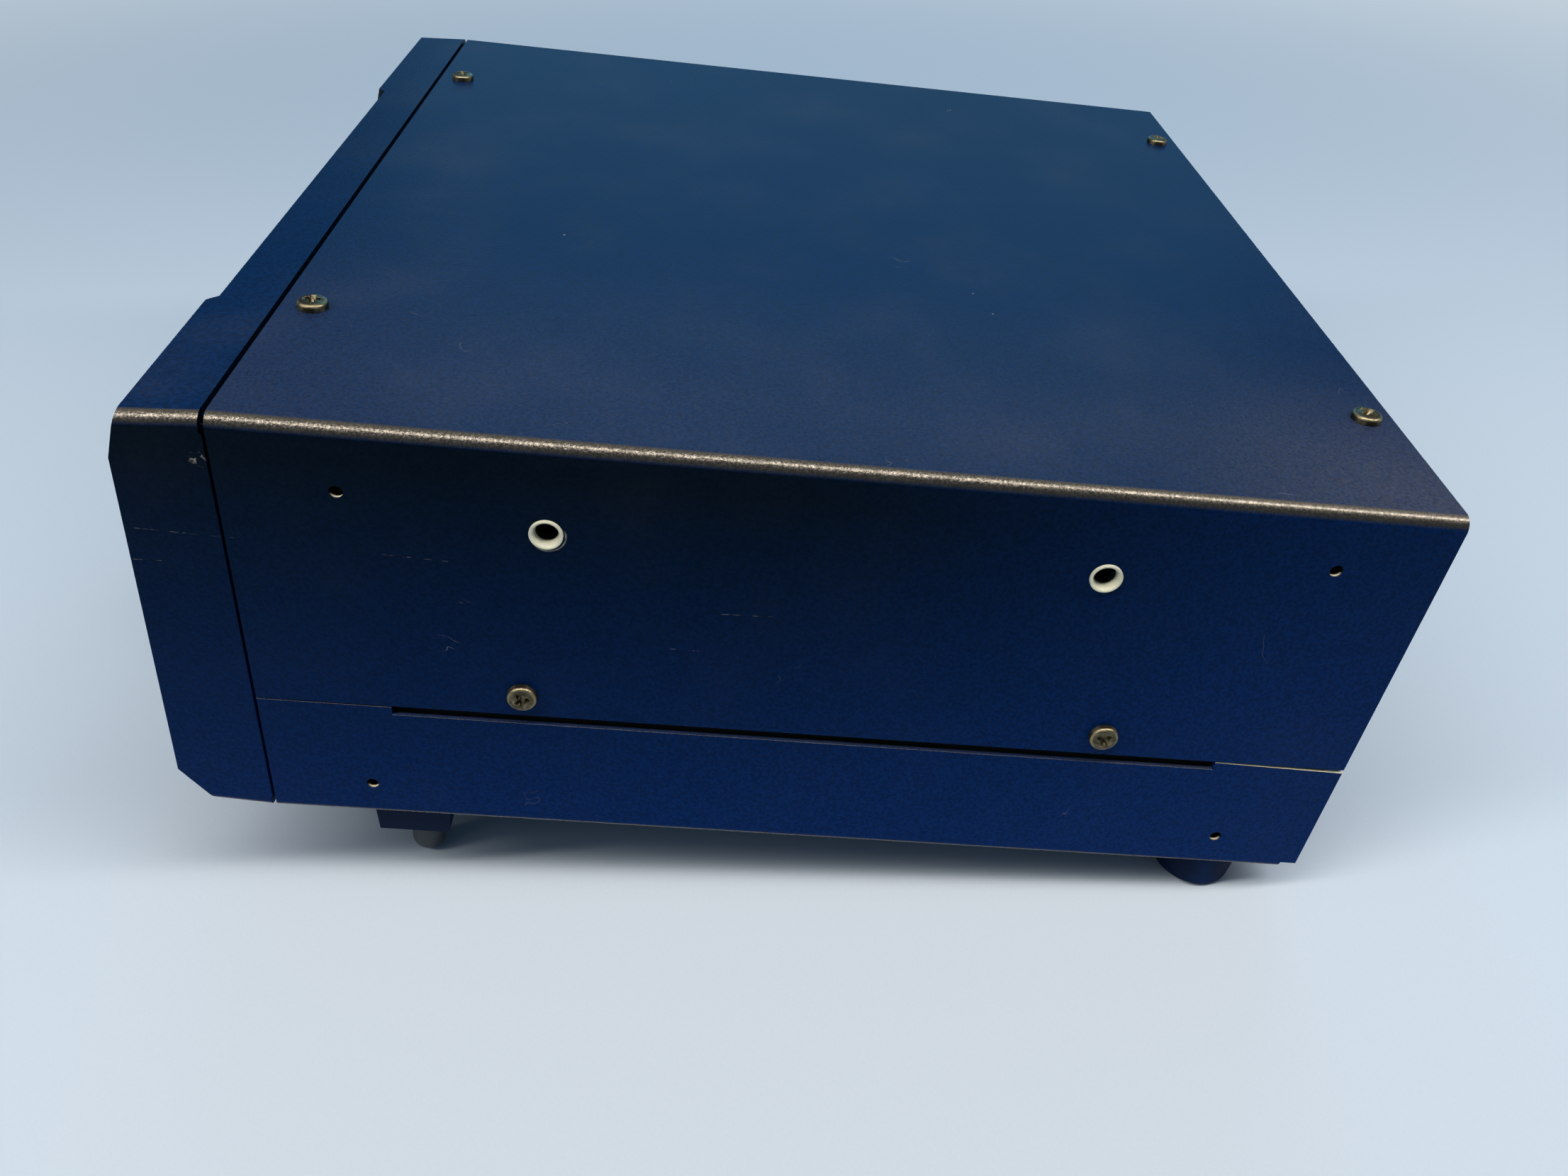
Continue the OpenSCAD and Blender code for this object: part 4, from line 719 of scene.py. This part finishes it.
def lathe(profile, turns):
    """Bmesh of a closed profile of radius and height turned about Z."""
    shape = bmesh.new()
    angles = [2 * math.pi * i / turns for i in range(turns)]
    rings = []
    for radius, height in profile:
        if radius < WELD:
            rings.append([shape.verts.new((0, 0, height))])
            continue
        points = [(radius * math.cos(a), radius * math.sin(a), height) for a in angles]
        rings.append([shape.verts.new(point) for point in points])
    for low, high in zip(rings, rings[1:] + rings[:1]):
        for i in range(turns):
            j = (i + 1) % turns
            corners = [low[i % len(low)], low[j % len(low)], high[j % len(high)], high[i % len(high)]]
            corners = list(dict.fromkeys(corners))
            if len(corners) > 2:
                shape.faces.new(corners)
    return shape


def arc(centre, radius, start, end, points):
    """Points of a circular arc, with angles in degrees."""
    steps = [math.radians(start + (end - start) * i / (points - 1)) for i in range(points)]
    return [(centre[0] + radius * math.cos(a), centre[1] + radius * math.sin(a)) for a in steps]


def baked_copy(data, *modifiers):
    """Mesh of a mesh or curve after modifiers, each given as a type and its settings."""
    holder = bpy.data.objects.new("holder", data)
    bpy.context.scene.collection.objects.link(holder)
    for kind, settings in modifiers:
        modifier = holder.modifiers.new(kind, kind)
        for name, value in settings.items():
            setattr(modifier, name, value)
    bpy.context.view_layer.update()
    graph = bpy.context.evaluated_depsgraph_get()
    result = bpy.data.meshes.new_from_object(holder.evaluated_get(graph))
    bpy.data.objects.remove(holder)
    return result


def gather(name, meshes_and_places, smooth):
    """One mesh of several, each set in its place."""
    shape = bmesh.new()
    for mesh, place in meshes_and_places:
        before = len(shape.verts)
        shape.from_mesh(mesh)
        shape.verts.ensure_lookup_table()
        bmesh.ops.transform(shape, matrix=place, verts=shape.verts[before:])
    return finished_mesh(name, shape, smooth)


def bar(shape, low, high):
    """Adds a box between two corners to a bmesh."""
    made = bmesh.ops.create_cube(shape, size=1)["verts"]
    size = Vector(high) - Vector(low)
    middle = (Vector(high) + Vector(low)) / 2
    place = Matrix.Translation(middle) @ Matrix.Diagonal((*size, 1))
    bmesh.ops.transform(shape, matrix=place, verts=made)
    return made


def screw_profile(length):
    """Section of a pan-head screw with a ring-cut thread, its seat at height 0."""
    s = sizes()
    radius, height, pitch = s.head_radius, s.head_height, s.thread_pitch
    dome = 2.6 * radius
    soft = 0.27 * radius
    chamfer = 0.08 * MM
    root = s.shank_radius - 0.55 * pitch
    turn_in = math.asin((radius - soft) / (dome - soft))
    centre = height - dome
    rim = centre + (dome - soft) * math.cos(turn_in)
    angles = [turn_in * i / 5 for i in range(5)]
    top = [(dome * math.sin(a), centre + dome * math.cos(a)) for a in angles]
    edge = arc((radius - soft, rim), soft, 90 - math.degrees(turn_in), 0, 7)
    thread = []
    for i in range(int(length / pitch)):
        thread.append((root, -(i + 0.15) * pitch))
        thread.append((s.shank_radius, -(i + 0.6) * pitch))
    return top + edge + [(radius, chamfer), (radius - chamfer, 0)] + thread + [(root, -length), (0, -length)]


def cross_recess():
    """Cross whose arms narrow downward, to cut the drive of a screw's head."""
    height = sizes().head_height
    reach = 0.95 * sizes().head_radius
    half = 0.72 * MM
    depth = 1.3 * MM
    shape = bmesh.new()
    for turn in (0, 90):
        arm = bar(shape, (-reach, -half, height - depth), (reach, half, height + MM))
        for vert in arm:
            if vert.co.z < height:
                vert.co.x *= 0.32
                vert.co.y *= 0.55
        bmesh.ops.rotate(shape, matrix=Matrix.Rotation(math.radians(turn), 3, "Z"), verts=arm)
    return finished_mesh("cross", shape)


def screw_mesh(length):
    """Pan-head screw with a cross recess and a thread, its seat at z = 0."""
    screw = finished_mesh("screw", lathe(screw_profile(length), 48), 40)
    cross = bpy.data.objects.new("cross", cross_recess())
    bpy.context.scene.collection.objects.link(cross)
    cut = {"operation": "DIFFERENCE", "solver": "EXACT", "use_self": True, "object": cross}
    round_off = {"width": 0.05 * MM, "segments": 1, "limit_method": "ANGLE", "angle_limit": math.radians(48)}
    mesh = baked_copy(screw, ("BOOLEAN", cut), ("BEVEL", round_off))
    bpy.data.objects.remove(cross)
    return mesh


def screws_of(node, outward):
    """Detailed screws in the place of each screw of a CAD node, with heads facing outward."""
    height = sizes().head_height
    placed = []
    meshes = {}
    for i, (low, high) in enumerate(solids(node)):
        middle = (low + high) / 2
        axis = outward(middle)
        k = max(range(3), key=lambda n: abs(axis[n]))
        length = round(high[k] - low[k] - height, 6)
        if length not in meshes:
            meshes[length] = screw_mesh(length)
        seat = middle.copy()
        seat[k] = high[k] - height if axis[k] > 0 else low[k] + height
        turn = Vector((0, 0, 1)).rotation_difference(axis).to_matrix().to_4x4()
        slack = Matrix.Rotation(math.radians(37 * i + 20), 4, "Z")
        placed.append((meshes[length], CASE @ Matrix.Translation(seat) @ turn @ slack))
    return gather(node + "_detailed", placed, 40)


def digit_mesh(text, height):
    """Thin raised print of one character, centred on its own origin and facing +Z."""
    curve = bpy.data.curves.new("digit", "FONT")
    curve.body = text
    curve.size = height * 1.38
    curve.align_x = "CENTER"
    curve.align_y = "CENTER"
    curve.extrude = sizes().print_depth
    curve.resolution_u = 6
    mesh = baked_copy(curve)
    low, high = corners_of([v.co for v in mesh.vertices])
    middle = (low + high) / 2
    middle.z = 0
    mesh.transform(Matrix.Translation(-middle))
    return mesh


def facing_front(x, y, z):
    """Place whose X is to the right, whose Y is up and whose Z faces the operator, in the case's axes."""
    return CASE @ Matrix.Translation((x, y, z)) @ Matrix.Rotation(math.radians(90), 4, "X")


def ear_face(z):
    """Place of the front of the panel's raised ears at a height, in the case's axes."""
    top_depth, top_height = 16.9 * MM, CASE_TOP - 9.7 * MM
    foot_depth, foot_height = 18.6 * MM, 9.6 * MM
    return -foot_depth + (foot_depth - top_depth) * (z - foot_height) / (top_height - foot_height)


def printed(shape, outline, face):
    """Adds thin print over an outline of x and z, on a front whose place at a height is a function."""
    depth = sizes().print_depth
    front = [shape.verts.new((p.x, face(p.y) - depth, p.y)) for p in outline]
    back = [shape.verts.new((p.x, face(p.y) + depth, p.y)) for p in outline]
    shape.faces.new(front)
    shape.faces.new(back)
    for i in range(len(outline)):
        shape.faces.new((front[i - 1], front[i], back[i], back[i - 1]))


class RECEIVER_OT_stage(bpy.types.Operator):
    """Pale floor, soft lamps and a camera at the viewing angle"""

    bl_idname = "receiver.stage"
    bl_label = "Stage"

    def execute(self, context):
        stage = context.scene.receiver_stage
        context.scene.view_settings.view_transform = "Standard"
        self.floor(context, stage)
        self.sky(context, stage)
        for lamp in LAMPS:
            self.lamp(context, stage, *lamp)
        self.camera(context, stage)
        return {"FINISHED"}

    def floor(self, context, stage):
        """Pale paper, which the camera sees turn into the backdrop away from the receiver."""
        shape = bmesh.new()
        bmesh.ops.create_grid(shape, x_segments=2, y_segments=2, size=FLOOR_HALF)
        f = Finish("floor_paper")
        fibre = f.noise(1400, 3.0)
        paper = f.principled(
            Base_Color=f.mix(fibre, shade(stage.floor, 0.97), shade(stage.floor, 1.03)), Roughness=0.9,
            Specular_IOR_Level=0.1)
        distance = f.node("VectorMath", {"operation": "LENGTH"}, {0: f.place}, "Value")
        seen = f.node("LightPath", output="Is Camera Ray")
        backdrop = f.node("Emission", None, {"Color": stage.backdrop})
        mesh = finished_mesh("floor", shape)
        mesh.materials.append(f.layered(f.step(distance, *FLOOR_FADE) * seen, paper, backdrop))
        floor = bpy.data.objects.new("floor", mesh)
        context.scene.collection.objects.link(floor)

    def sky(self, context, stage):
        """Even light all round, which the camera sees as the backdrop."""
        f = Finish("studio", bpy.data.worlds)
        sky = f.node("Background", None, {"Color": SKY_TINT, "Strength": stage.sky})
        backdrop = f.node("Background", None, {"Color": stage.backdrop})
        seen = f.node("LightPath", output="Is Camera Ray")
        context.scene.world = f.layered(seen, sky, backdrop, "OutputWorld")

    def lamp(self, context, stage, name, power, size, place, tint):
        """Area lamp that faces the receiver."""
        data = bpy.data.lights.new(name, "AREA")
        data.shape = "RECTANGLE"
        data.energy = getattr(stage, power)
        data.size, data.size_y = size
        data.color = tint
        lamp = bpy.data.objects.new(name, data)
        lamp.location = place
        lamp.rotation_mode = "QUATERNION"
        lamp.rotation_quaternion = (LAMP_TARGET - Vector(place)).to_track_quat("-Z", "Y")
        context.scene.collection.objects.link(lamp)

    def camera(self, context, stage):
        """Camera at its place and angle against the case."""
        level = math.cos(stage.elevation)
        ahead = Vector((-math.sin(stage.azimuth) * level, math.cos(stage.azimuth) * level,
                        -math.sin(stage.elevation)))
        across = ahead.cross(Vector((0, 0, 1))).normalized()
        over = across.cross(ahead)
        right = across * math.cos(stage.roll) + over * math.sin(stage.roll)
        axes = Matrix((right, right.cross(ahead), -ahead)).transposed().to_4x4()
        data = bpy.data.cameras.new("camera")
        data.sensor_width = 36
        data.lens = stage.lens
        data.clip_start = 0.01
        camera = bpy.data.objects.new("camera", data)
        context.scene.collection.objects.link(camera)
        camera.matrix_world = CASE @ Matrix.Translation(stage.eye) @ axes
        context.scene.camera = camera


class RECEIVER_OT_covers(bpy.types.Operator):
    """Textured paint on the covers, the rear panel and the front panel"""

    bl_idname = "receiver.covers"
    bl_label = "Covers"

    def execute(self, context):
        upper = CASE_TOP - BRACKET_DROP
        dress(textured_paint("top_cover_paint", upper, scuffs=True), "top_cover")
        dress(textured_paint("bottom_cover_paint", BRACKET_RISE, raw_seam=True), "bottom_cover")
        dress(textured_paint("rear_panel_paint"), "rear_panel")
        dress(textured_paint("front_panel_paint", scuffs=True), "front_panel")
        soften(sizes().edge, "top_cover", "bottom_cover", "rear_panel", "front_panel")
        return {"FINISHED"}


class RECEIVER_OT_screws(bpy.types.Operator):
    """Pan-head screws with cross recesses and threads"""

    bl_idname = "receiver.screws"
    bl_label = "Screws"

    def execute(self, context):
        plating = screw_plating("screw_plating")
        outward = {
            "top_cover_screws": lambda middle: Vector((0, 0, 1)),
            "side_cover_screws": lambda middle: Vector((math.copysign(1, middle.x), 0, 0)),
            "bottom_cover_screws": lambda middle: Vector((0, 0, -1)),
            "rear_panel_screws": lambda middle: Vector((0, 1, 0)),
            "foot_screws": lambda middle: Vector((0, 0, -1)),
        }
        for node, direction in outward.items():
            mesh = screws_of(node, direction)
            add_piece(node + "_detailed", mesh, plating, "case", [node])
        dress(plating, "front_panel_screws", "board_screws")
        return {"FINISHED"}


class RECEIVER_OT_bushes(bpy.types.Operator):
    """Cream nylon bushes with a rolled rim and a funnel mouth"""

    bl_idname = "receiver.bushes"
    bl_label = "Handle bushes"

    def execute(self, context):
        placed = []
        for low, high in solids("handle_bushes"):
            side = math.copysign(1, low.x + high.x)
            length = high.x - low.x
            outer = (high.z - low.z) / 2
            mesh = finished_mesh("bush", lathe(self.profile(length, outer), 64), 50)
            inner_end = low.x if side > 0 else high.x
            middle = Vector((inner_end, (low.y + high.y) / 2, (low.z + high.z) / 2))
            turn = Matrix.Rotation(math.radians(90 * side), 4, "Y")
            placed.append((mesh, CASE @ Matrix.Translation(middle) @ turn))
        mesh = gather("bushes", placed, 50)
        nylon = bush_nylon("bush_nylon")
        add_piece("handle_bushes_turned", mesh, nylon, "case", ["handle_bushes"])
        return {"FINISHED"}

    def profile(self, length, outer):
        """Closed section of a bush, from its inner end at height 0 to the rim."""
        bore = 2.1 * MM
        body = 2.7 * MM
        lip = 0.2 * MM
        flange = 1.1 * MM
        brim_rise = 0.4 * MM
        bell_depth = 1.3 * MM
        mouth = 0.93 * outer - lip
        seat = length - flange
        brim = seat + brim_rise
        throat = max(seat - bell_depth, lip)
        rolled = arc((mouth, brim), lip, 0, 100, 6)
        bell = []
        for i in range(1, 10):
            share = math.cos(math.radians(10 * i))
            flare = (mouth - bore) * (1 - math.sqrt(1 - share ** 2))
            bell.append((bore + flare, throat + (brim + lip - throat) * share))
        return [(bore, 0), (body, 0), (body, seat), (mouth + lip, seat)] + rolled + bell


class RECEIVER_OT_feet(bpy.types.Operator):
    """Front feet, fold-out legs, their pins and the rear feet"""

    bl_idname = "receiver.feet"
    bl_label = "Feet"

    def execute(self, context):
        dress(moulded_plastic("foot_plastic", colours().foot, 0.48, gloss=0.06), "front_feet")
        dress(moulded_plastic("leg_plastic", colours().leg, 0.42, 900), "tilt_leg_left", "tilt_leg_right")
        dress(soft_rubber("foot_rubber", colours().foot), "rear_feet")
        dress(plated_metal("pin_nickel", colours().nickel, 0.25), "leg_pins")
        soften(0.3 * MM, "front_feet")
        return {"FINISHED"}


class RECEIVER_OT_controls(bpy.types.Operator):
    """Tuning dial, small knobs with white lines, their shafts and the headphone socket"""

    bl_idname = "receiver.controls"
    bl_label = "Dial and knobs"

    def execute(self, context):
        plastic = moulded_plastic("knob_plastic", colours().plastic, 0.4)
        dress(plastic, "tuning_dial", "af_gain_knob", "squelch_knob")
        dress(soft_rubber("grip_rubber", colours().rubber), "dial_grip")
        nickel = plated_metal("control_nickel", colours().nickel, 0.22)
        dress(nickel, "tuning_shaft", "af_gain_shaft", "squelch_shaft")
        dress(nickel, "tuning_encoder", "control_pots", "phones_jack")
        ink = white_print("line_ink")
        for knob in ("af_gain", "squelch"):
            self.line(knob, ink)
        return {"FINISHED"}

    def line(self, knob, ink):
        """White line let into the face of a knob."""
        low, high = case_box(knob + "_knob")
        middle = (low + high) / 2
        half = 0.42 * MM
        thick = 0.45 * MM
        floor = low.y + 0.6 * MM
        start = middle.z + 1.1 * MM
        end = high.z - 2.6 * MM
        shape = bmesh.new()
        bar(shape, (middle.x - half, floor - thick, start), (middle.x + half, floor, end))
        bmesh.ops.bevel(shape, geom=shape.edges[:], offset=0.1 * MM, segments=2, affect="EDGES")
        shape.transform(CASE)
        mesh = finished_mesh(knob + "_line", shape)
        add_piece(knob + "_line", mesh, ink, knob + "_control")


class RECEIVER_OT_keys(bpy.types.Operator):
    """Keys, the power button and the digits printed on the keypad"""

    bl_idname = "receiver.keys"
    bl_label = "Keys"

    def execute(self, context):
        keys = sorted(n for n in frame["nodes"] if n.startswith("key_") and n != "key_switches")
        dress(moulded_plastic("key_plastic", colours().key, 0.38), *keys, "power_button")
        soften(0.12 * MM, *keys, "power_button")
        ink = white_print("key_ink")
        for node in keys:
            text = node[len("key_"):].replace("point", ".")
            if text in "0123456789.":
                self.legend(node, text, ink)
        return {"FINISHED"}

    def legend(self, node, text, ink):
        """Character printed in the middle of a key."""
        low, high = case_box(node)
        mesh = digit_mesh(text, sizes().digit)
        mesh.transform(facing_front((low.x + high.x) / 2, low.y, (low.z + high.z) / 2))
        add_piece("legend_" + node, mesh, ink, node)


class RECEIVER_OT_display(bpy.types.Operator):
    """Smoked window over a display panel with its unlit segments"""

    bl_idname = "receiver.display"
    bl_label = "Display"

    def execute(self, context):
        dress(smoked_window("smoked_window"), "display_window")
        dress(display_glass("display_glass"), "display_module")
        f = Finish("segment_ink")
        cell = f.noise(2600, 2.0)
        ink = f.surface(
            Base_Color=f.mix(cell, (0.05, 0.06, 0.04), (0.075, 0.09, 0.06)), Roughness=0.4 + cell * 0.1)
        add_piece("display_segments", self.segments(), ink, "case")
        return {"FINISHED"}

    def segments(self):
        """Eight digits in three groups, under a row of bars."""
        low, high = case_box("display_module")
        face = low.y
        width, height = high.x - low.x, high.z - low.z
        shape = bmesh.new()
        tall = 0.5 * height
        step = 0.62 * tall
        left = low.x + 0.2 * width
        for i in range(8):
            gap = 0.3 * step * (i > 1) + 0.3 * step * (i > 4)
            self.digit(shape, left + i * step + gap, low.z + 0.16 * height, tall, face)
        self.meter(shape, low.x + 0.08 * width, high.z - 0.16 * height, width * 0.5, face)
        shape.transform(CASE)
        return finished_mesh("display_segments", shape)

    def digit(self, shape, x, z, tall, face):
        """Seven pointed bars of one digit."""
        wide = 0.46 * tall
        half = tall / 2
        for row in range(3):
            self.stroke(shape, (x, z + row * half), (x + wide, z + row * half), face)
        for edge in (x, x + wide):
            for foot in (z, z + half):
                self.stroke(shape, (edge, foot), (edge, foot + half), face)

    def stroke(self, shape, start, end, face):
        """Six-sided bar between two points of the display, a little proud of its face."""
        a, b = Vector(start), Vector(end)
        along = (b - a).normalized()
        aside = Vector((-along.y, along.x))
        thick = 0.5 * MM
        gap = 0.25 * MM
        a = a + along * gap
        b = b - along * gap
        outline = [a, a + (along + aside) * thick, b - (along - aside) * thick, b,
                   b - (along + aside) * thick, a + (along - aside) * thick]
        printed(shape, outline, lambda z: face)

    def meter(self, shape, x, z, length, face):
        """Row of bars of the signal meter."""
        count = 24
        pitch = length / count
        depth = sizes().print_depth
        for i in range(count):
            left = x + i * pitch
            tall = (1.2 + 0.05 * i) * MM
            bar(shape, (left, face - depth, z), (left + 0.62 * pitch, face + depth, z + tall))


class RECEIVER_OT_graphics(bpy.types.Operator):
    """Printed scales round the small knobs"""

    bl_idname = "receiver.graphics"
    bl_label = "Panel print"

    def execute(self, context):
        shape = bmesh.new()
        for knob in ("af_gain_knob", "squelch_knob"):
            low, high = case_box(knob)
            self.scale(shape, (low + high) / 2, (high.x - low.x) / 2)
        shape.transform(CASE)
        mesh = finished_mesh("knob_scales", shape)
        add_piece("knob_scales", mesh, white_print("panel_ink"), "case")
        return {"FINISHED"}

    def scale(self, shape, middle, radius):
        """Eleven ticks over a knob's turn, the first, middle and last of them longer."""
        gap = 0.9 * MM
        half = 0.16 * MM
        for i in range(11):
            angle = math.radians(-150 + 30 * i)
            out = Vector((math.sin(angle), math.cos(angle)))
            aside = Vector((out.y, -out.x)) * half
            near = Vector((middle.x, middle.z)) + out * (radius + gap)
            far = near + out * (2.0 if i % 5 == 0 else 1.3) * MM
            printed(shape, (near - aside, near + aside, far + aside, far - aside), ear_face)


class RECEIVER_OT_sockets(bpy.types.Operator):
    """Rear sockets, the threads of the aerial sockets and the earth stud"""

    bl_idname = "receiver.sockets"
    bl_label = "Rear sockets"

    def execute(self, context):
        nickel = plated_metal("socket_nickel", colours().nickel, 0.24)
        dress(nickel, "antenna_sockets", "ground_stud", "ground_nut")
        plastic = moulded_plastic("socket_plastic", colours().plastic, 0.4)
        dress(plastic, "dc_socket", "rear_jacks", "accessory_socket")
        placed = [self.thread(name) for name in ("antenna_1_thread", "antenna_2_thread")]
        add_piece("antenna_threads", gather("threads", placed, 30), nickel, "case")
        return {"FINISHED"}

    def thread(self, name):
        """Ring-cut thread over a socket's barrel, about its mount."""
        pitch = 1.05 * MM
        crest = 0.22 * MM
        mount = next(m for m in frame["record"]["mounts"] if m["name"] == name)
        radius = mount["dims"]["r_mm"] * MM
        length = mount["dims"]["length_mm"] * MM - MM
        profile = [(radius - 2 * crest, -length / 2)]
        for i in range(int(length / pitch)):
            start = -length / 2 + i * pitch
            profile.append((radius - crest, start))
            profile.append((radius + crest, start + 0.4 * pitch))
            profile.append((radius + crest, start + 0.6 * pitch))
        profile.append((radius - crest, length / 2))
        profile.append((radius - 2 * crest, length / 2))
        turn = Vector((0, 0, 1)).rotation_difference(Vector(mount["axis"])).to_matrix().to_4x4()
        mesh = finished_mesh(name, lathe(profile, 72), 30)
        return mesh, Matrix.Translation(mount["pos_m"]) @ turn


class RECEIVER_OT_inside(bpy.types.Operator):
    """Chassis, boards, shield can, switches and speaker"""

    bl_idname = "receiver.inside"
    bl_label = "Inside"

    def execute(self, context):
        dress(passivated_steel("chassis_steel"), "chassis_frame", "rf_shield_can")
        dress(circuit_board("circuit_board"), "front_board", "main_board")
        dress(moulded_plastic("switch_plastic", colours().plastic, 0.45), "key_switches")
        dress(speaker_paper("speaker_paper"), "speaker")
        return {"FINISHED"}


class RECEIVER_PT_panel(bpy.types.Panel):
    """Sidebar panel that lists the receiver's operators"""

    bl_label = "Receiver"
    bl_idname = "RECEIVER_PT_panel"
    bl_space_type = "VIEW_3D"
    bl_region_type = "UI"
    bl_category = "Receiver"

    def draw(self, context):
        for operator in OPERATORS:
            self.layout.operator(operator.bl_idname)


OPERATORS = (
    RECEIVER_OT_stage, RECEIVER_OT_covers, RECEIVER_OT_screws, RECEIVER_OT_bushes, RECEIVER_OT_feet,
    RECEIVER_OT_controls, RECEIVER_OT_keys, RECEIVER_OT_display, RECEIVER_OT_graphics, RECEIVER_OT_sockets,
    RECEIVER_OT_inside,
)
GROUPS = (FinishColours, TrimSizes, StageSettings)


def register():
    for kind in GROUPS + OPERATORS + (RECEIVER_PT_panel,):
        bpy.utils.register_class(kind)
    bpy.types.Scene.receiver_colours = PointerProperty(type=FinishColours)
    bpy.types.Scene.receiver_sizes = PointerProperty(type=TrimSizes)
    bpy.types.Scene.receiver_stage = PointerProperty(type=StageSettings)


def unregister():
    del bpy.types.Scene.receiver_stage
    del bpy.types.Scene.receiver_sizes
    del bpy.types.Scene.receiver_colours
    for kind in reversed(GROUPS + OPERATORS + (RECEIVER_PT_panel,)):
        bpy.utils.unregister_class(kind)


def main():
    register()
    for operator in OPERATORS:
        group, name = operator.bl_idname.split(".")
        getattr(getattr(bpy.ops, group), name)()


if __name__ == "__main__":
    main()
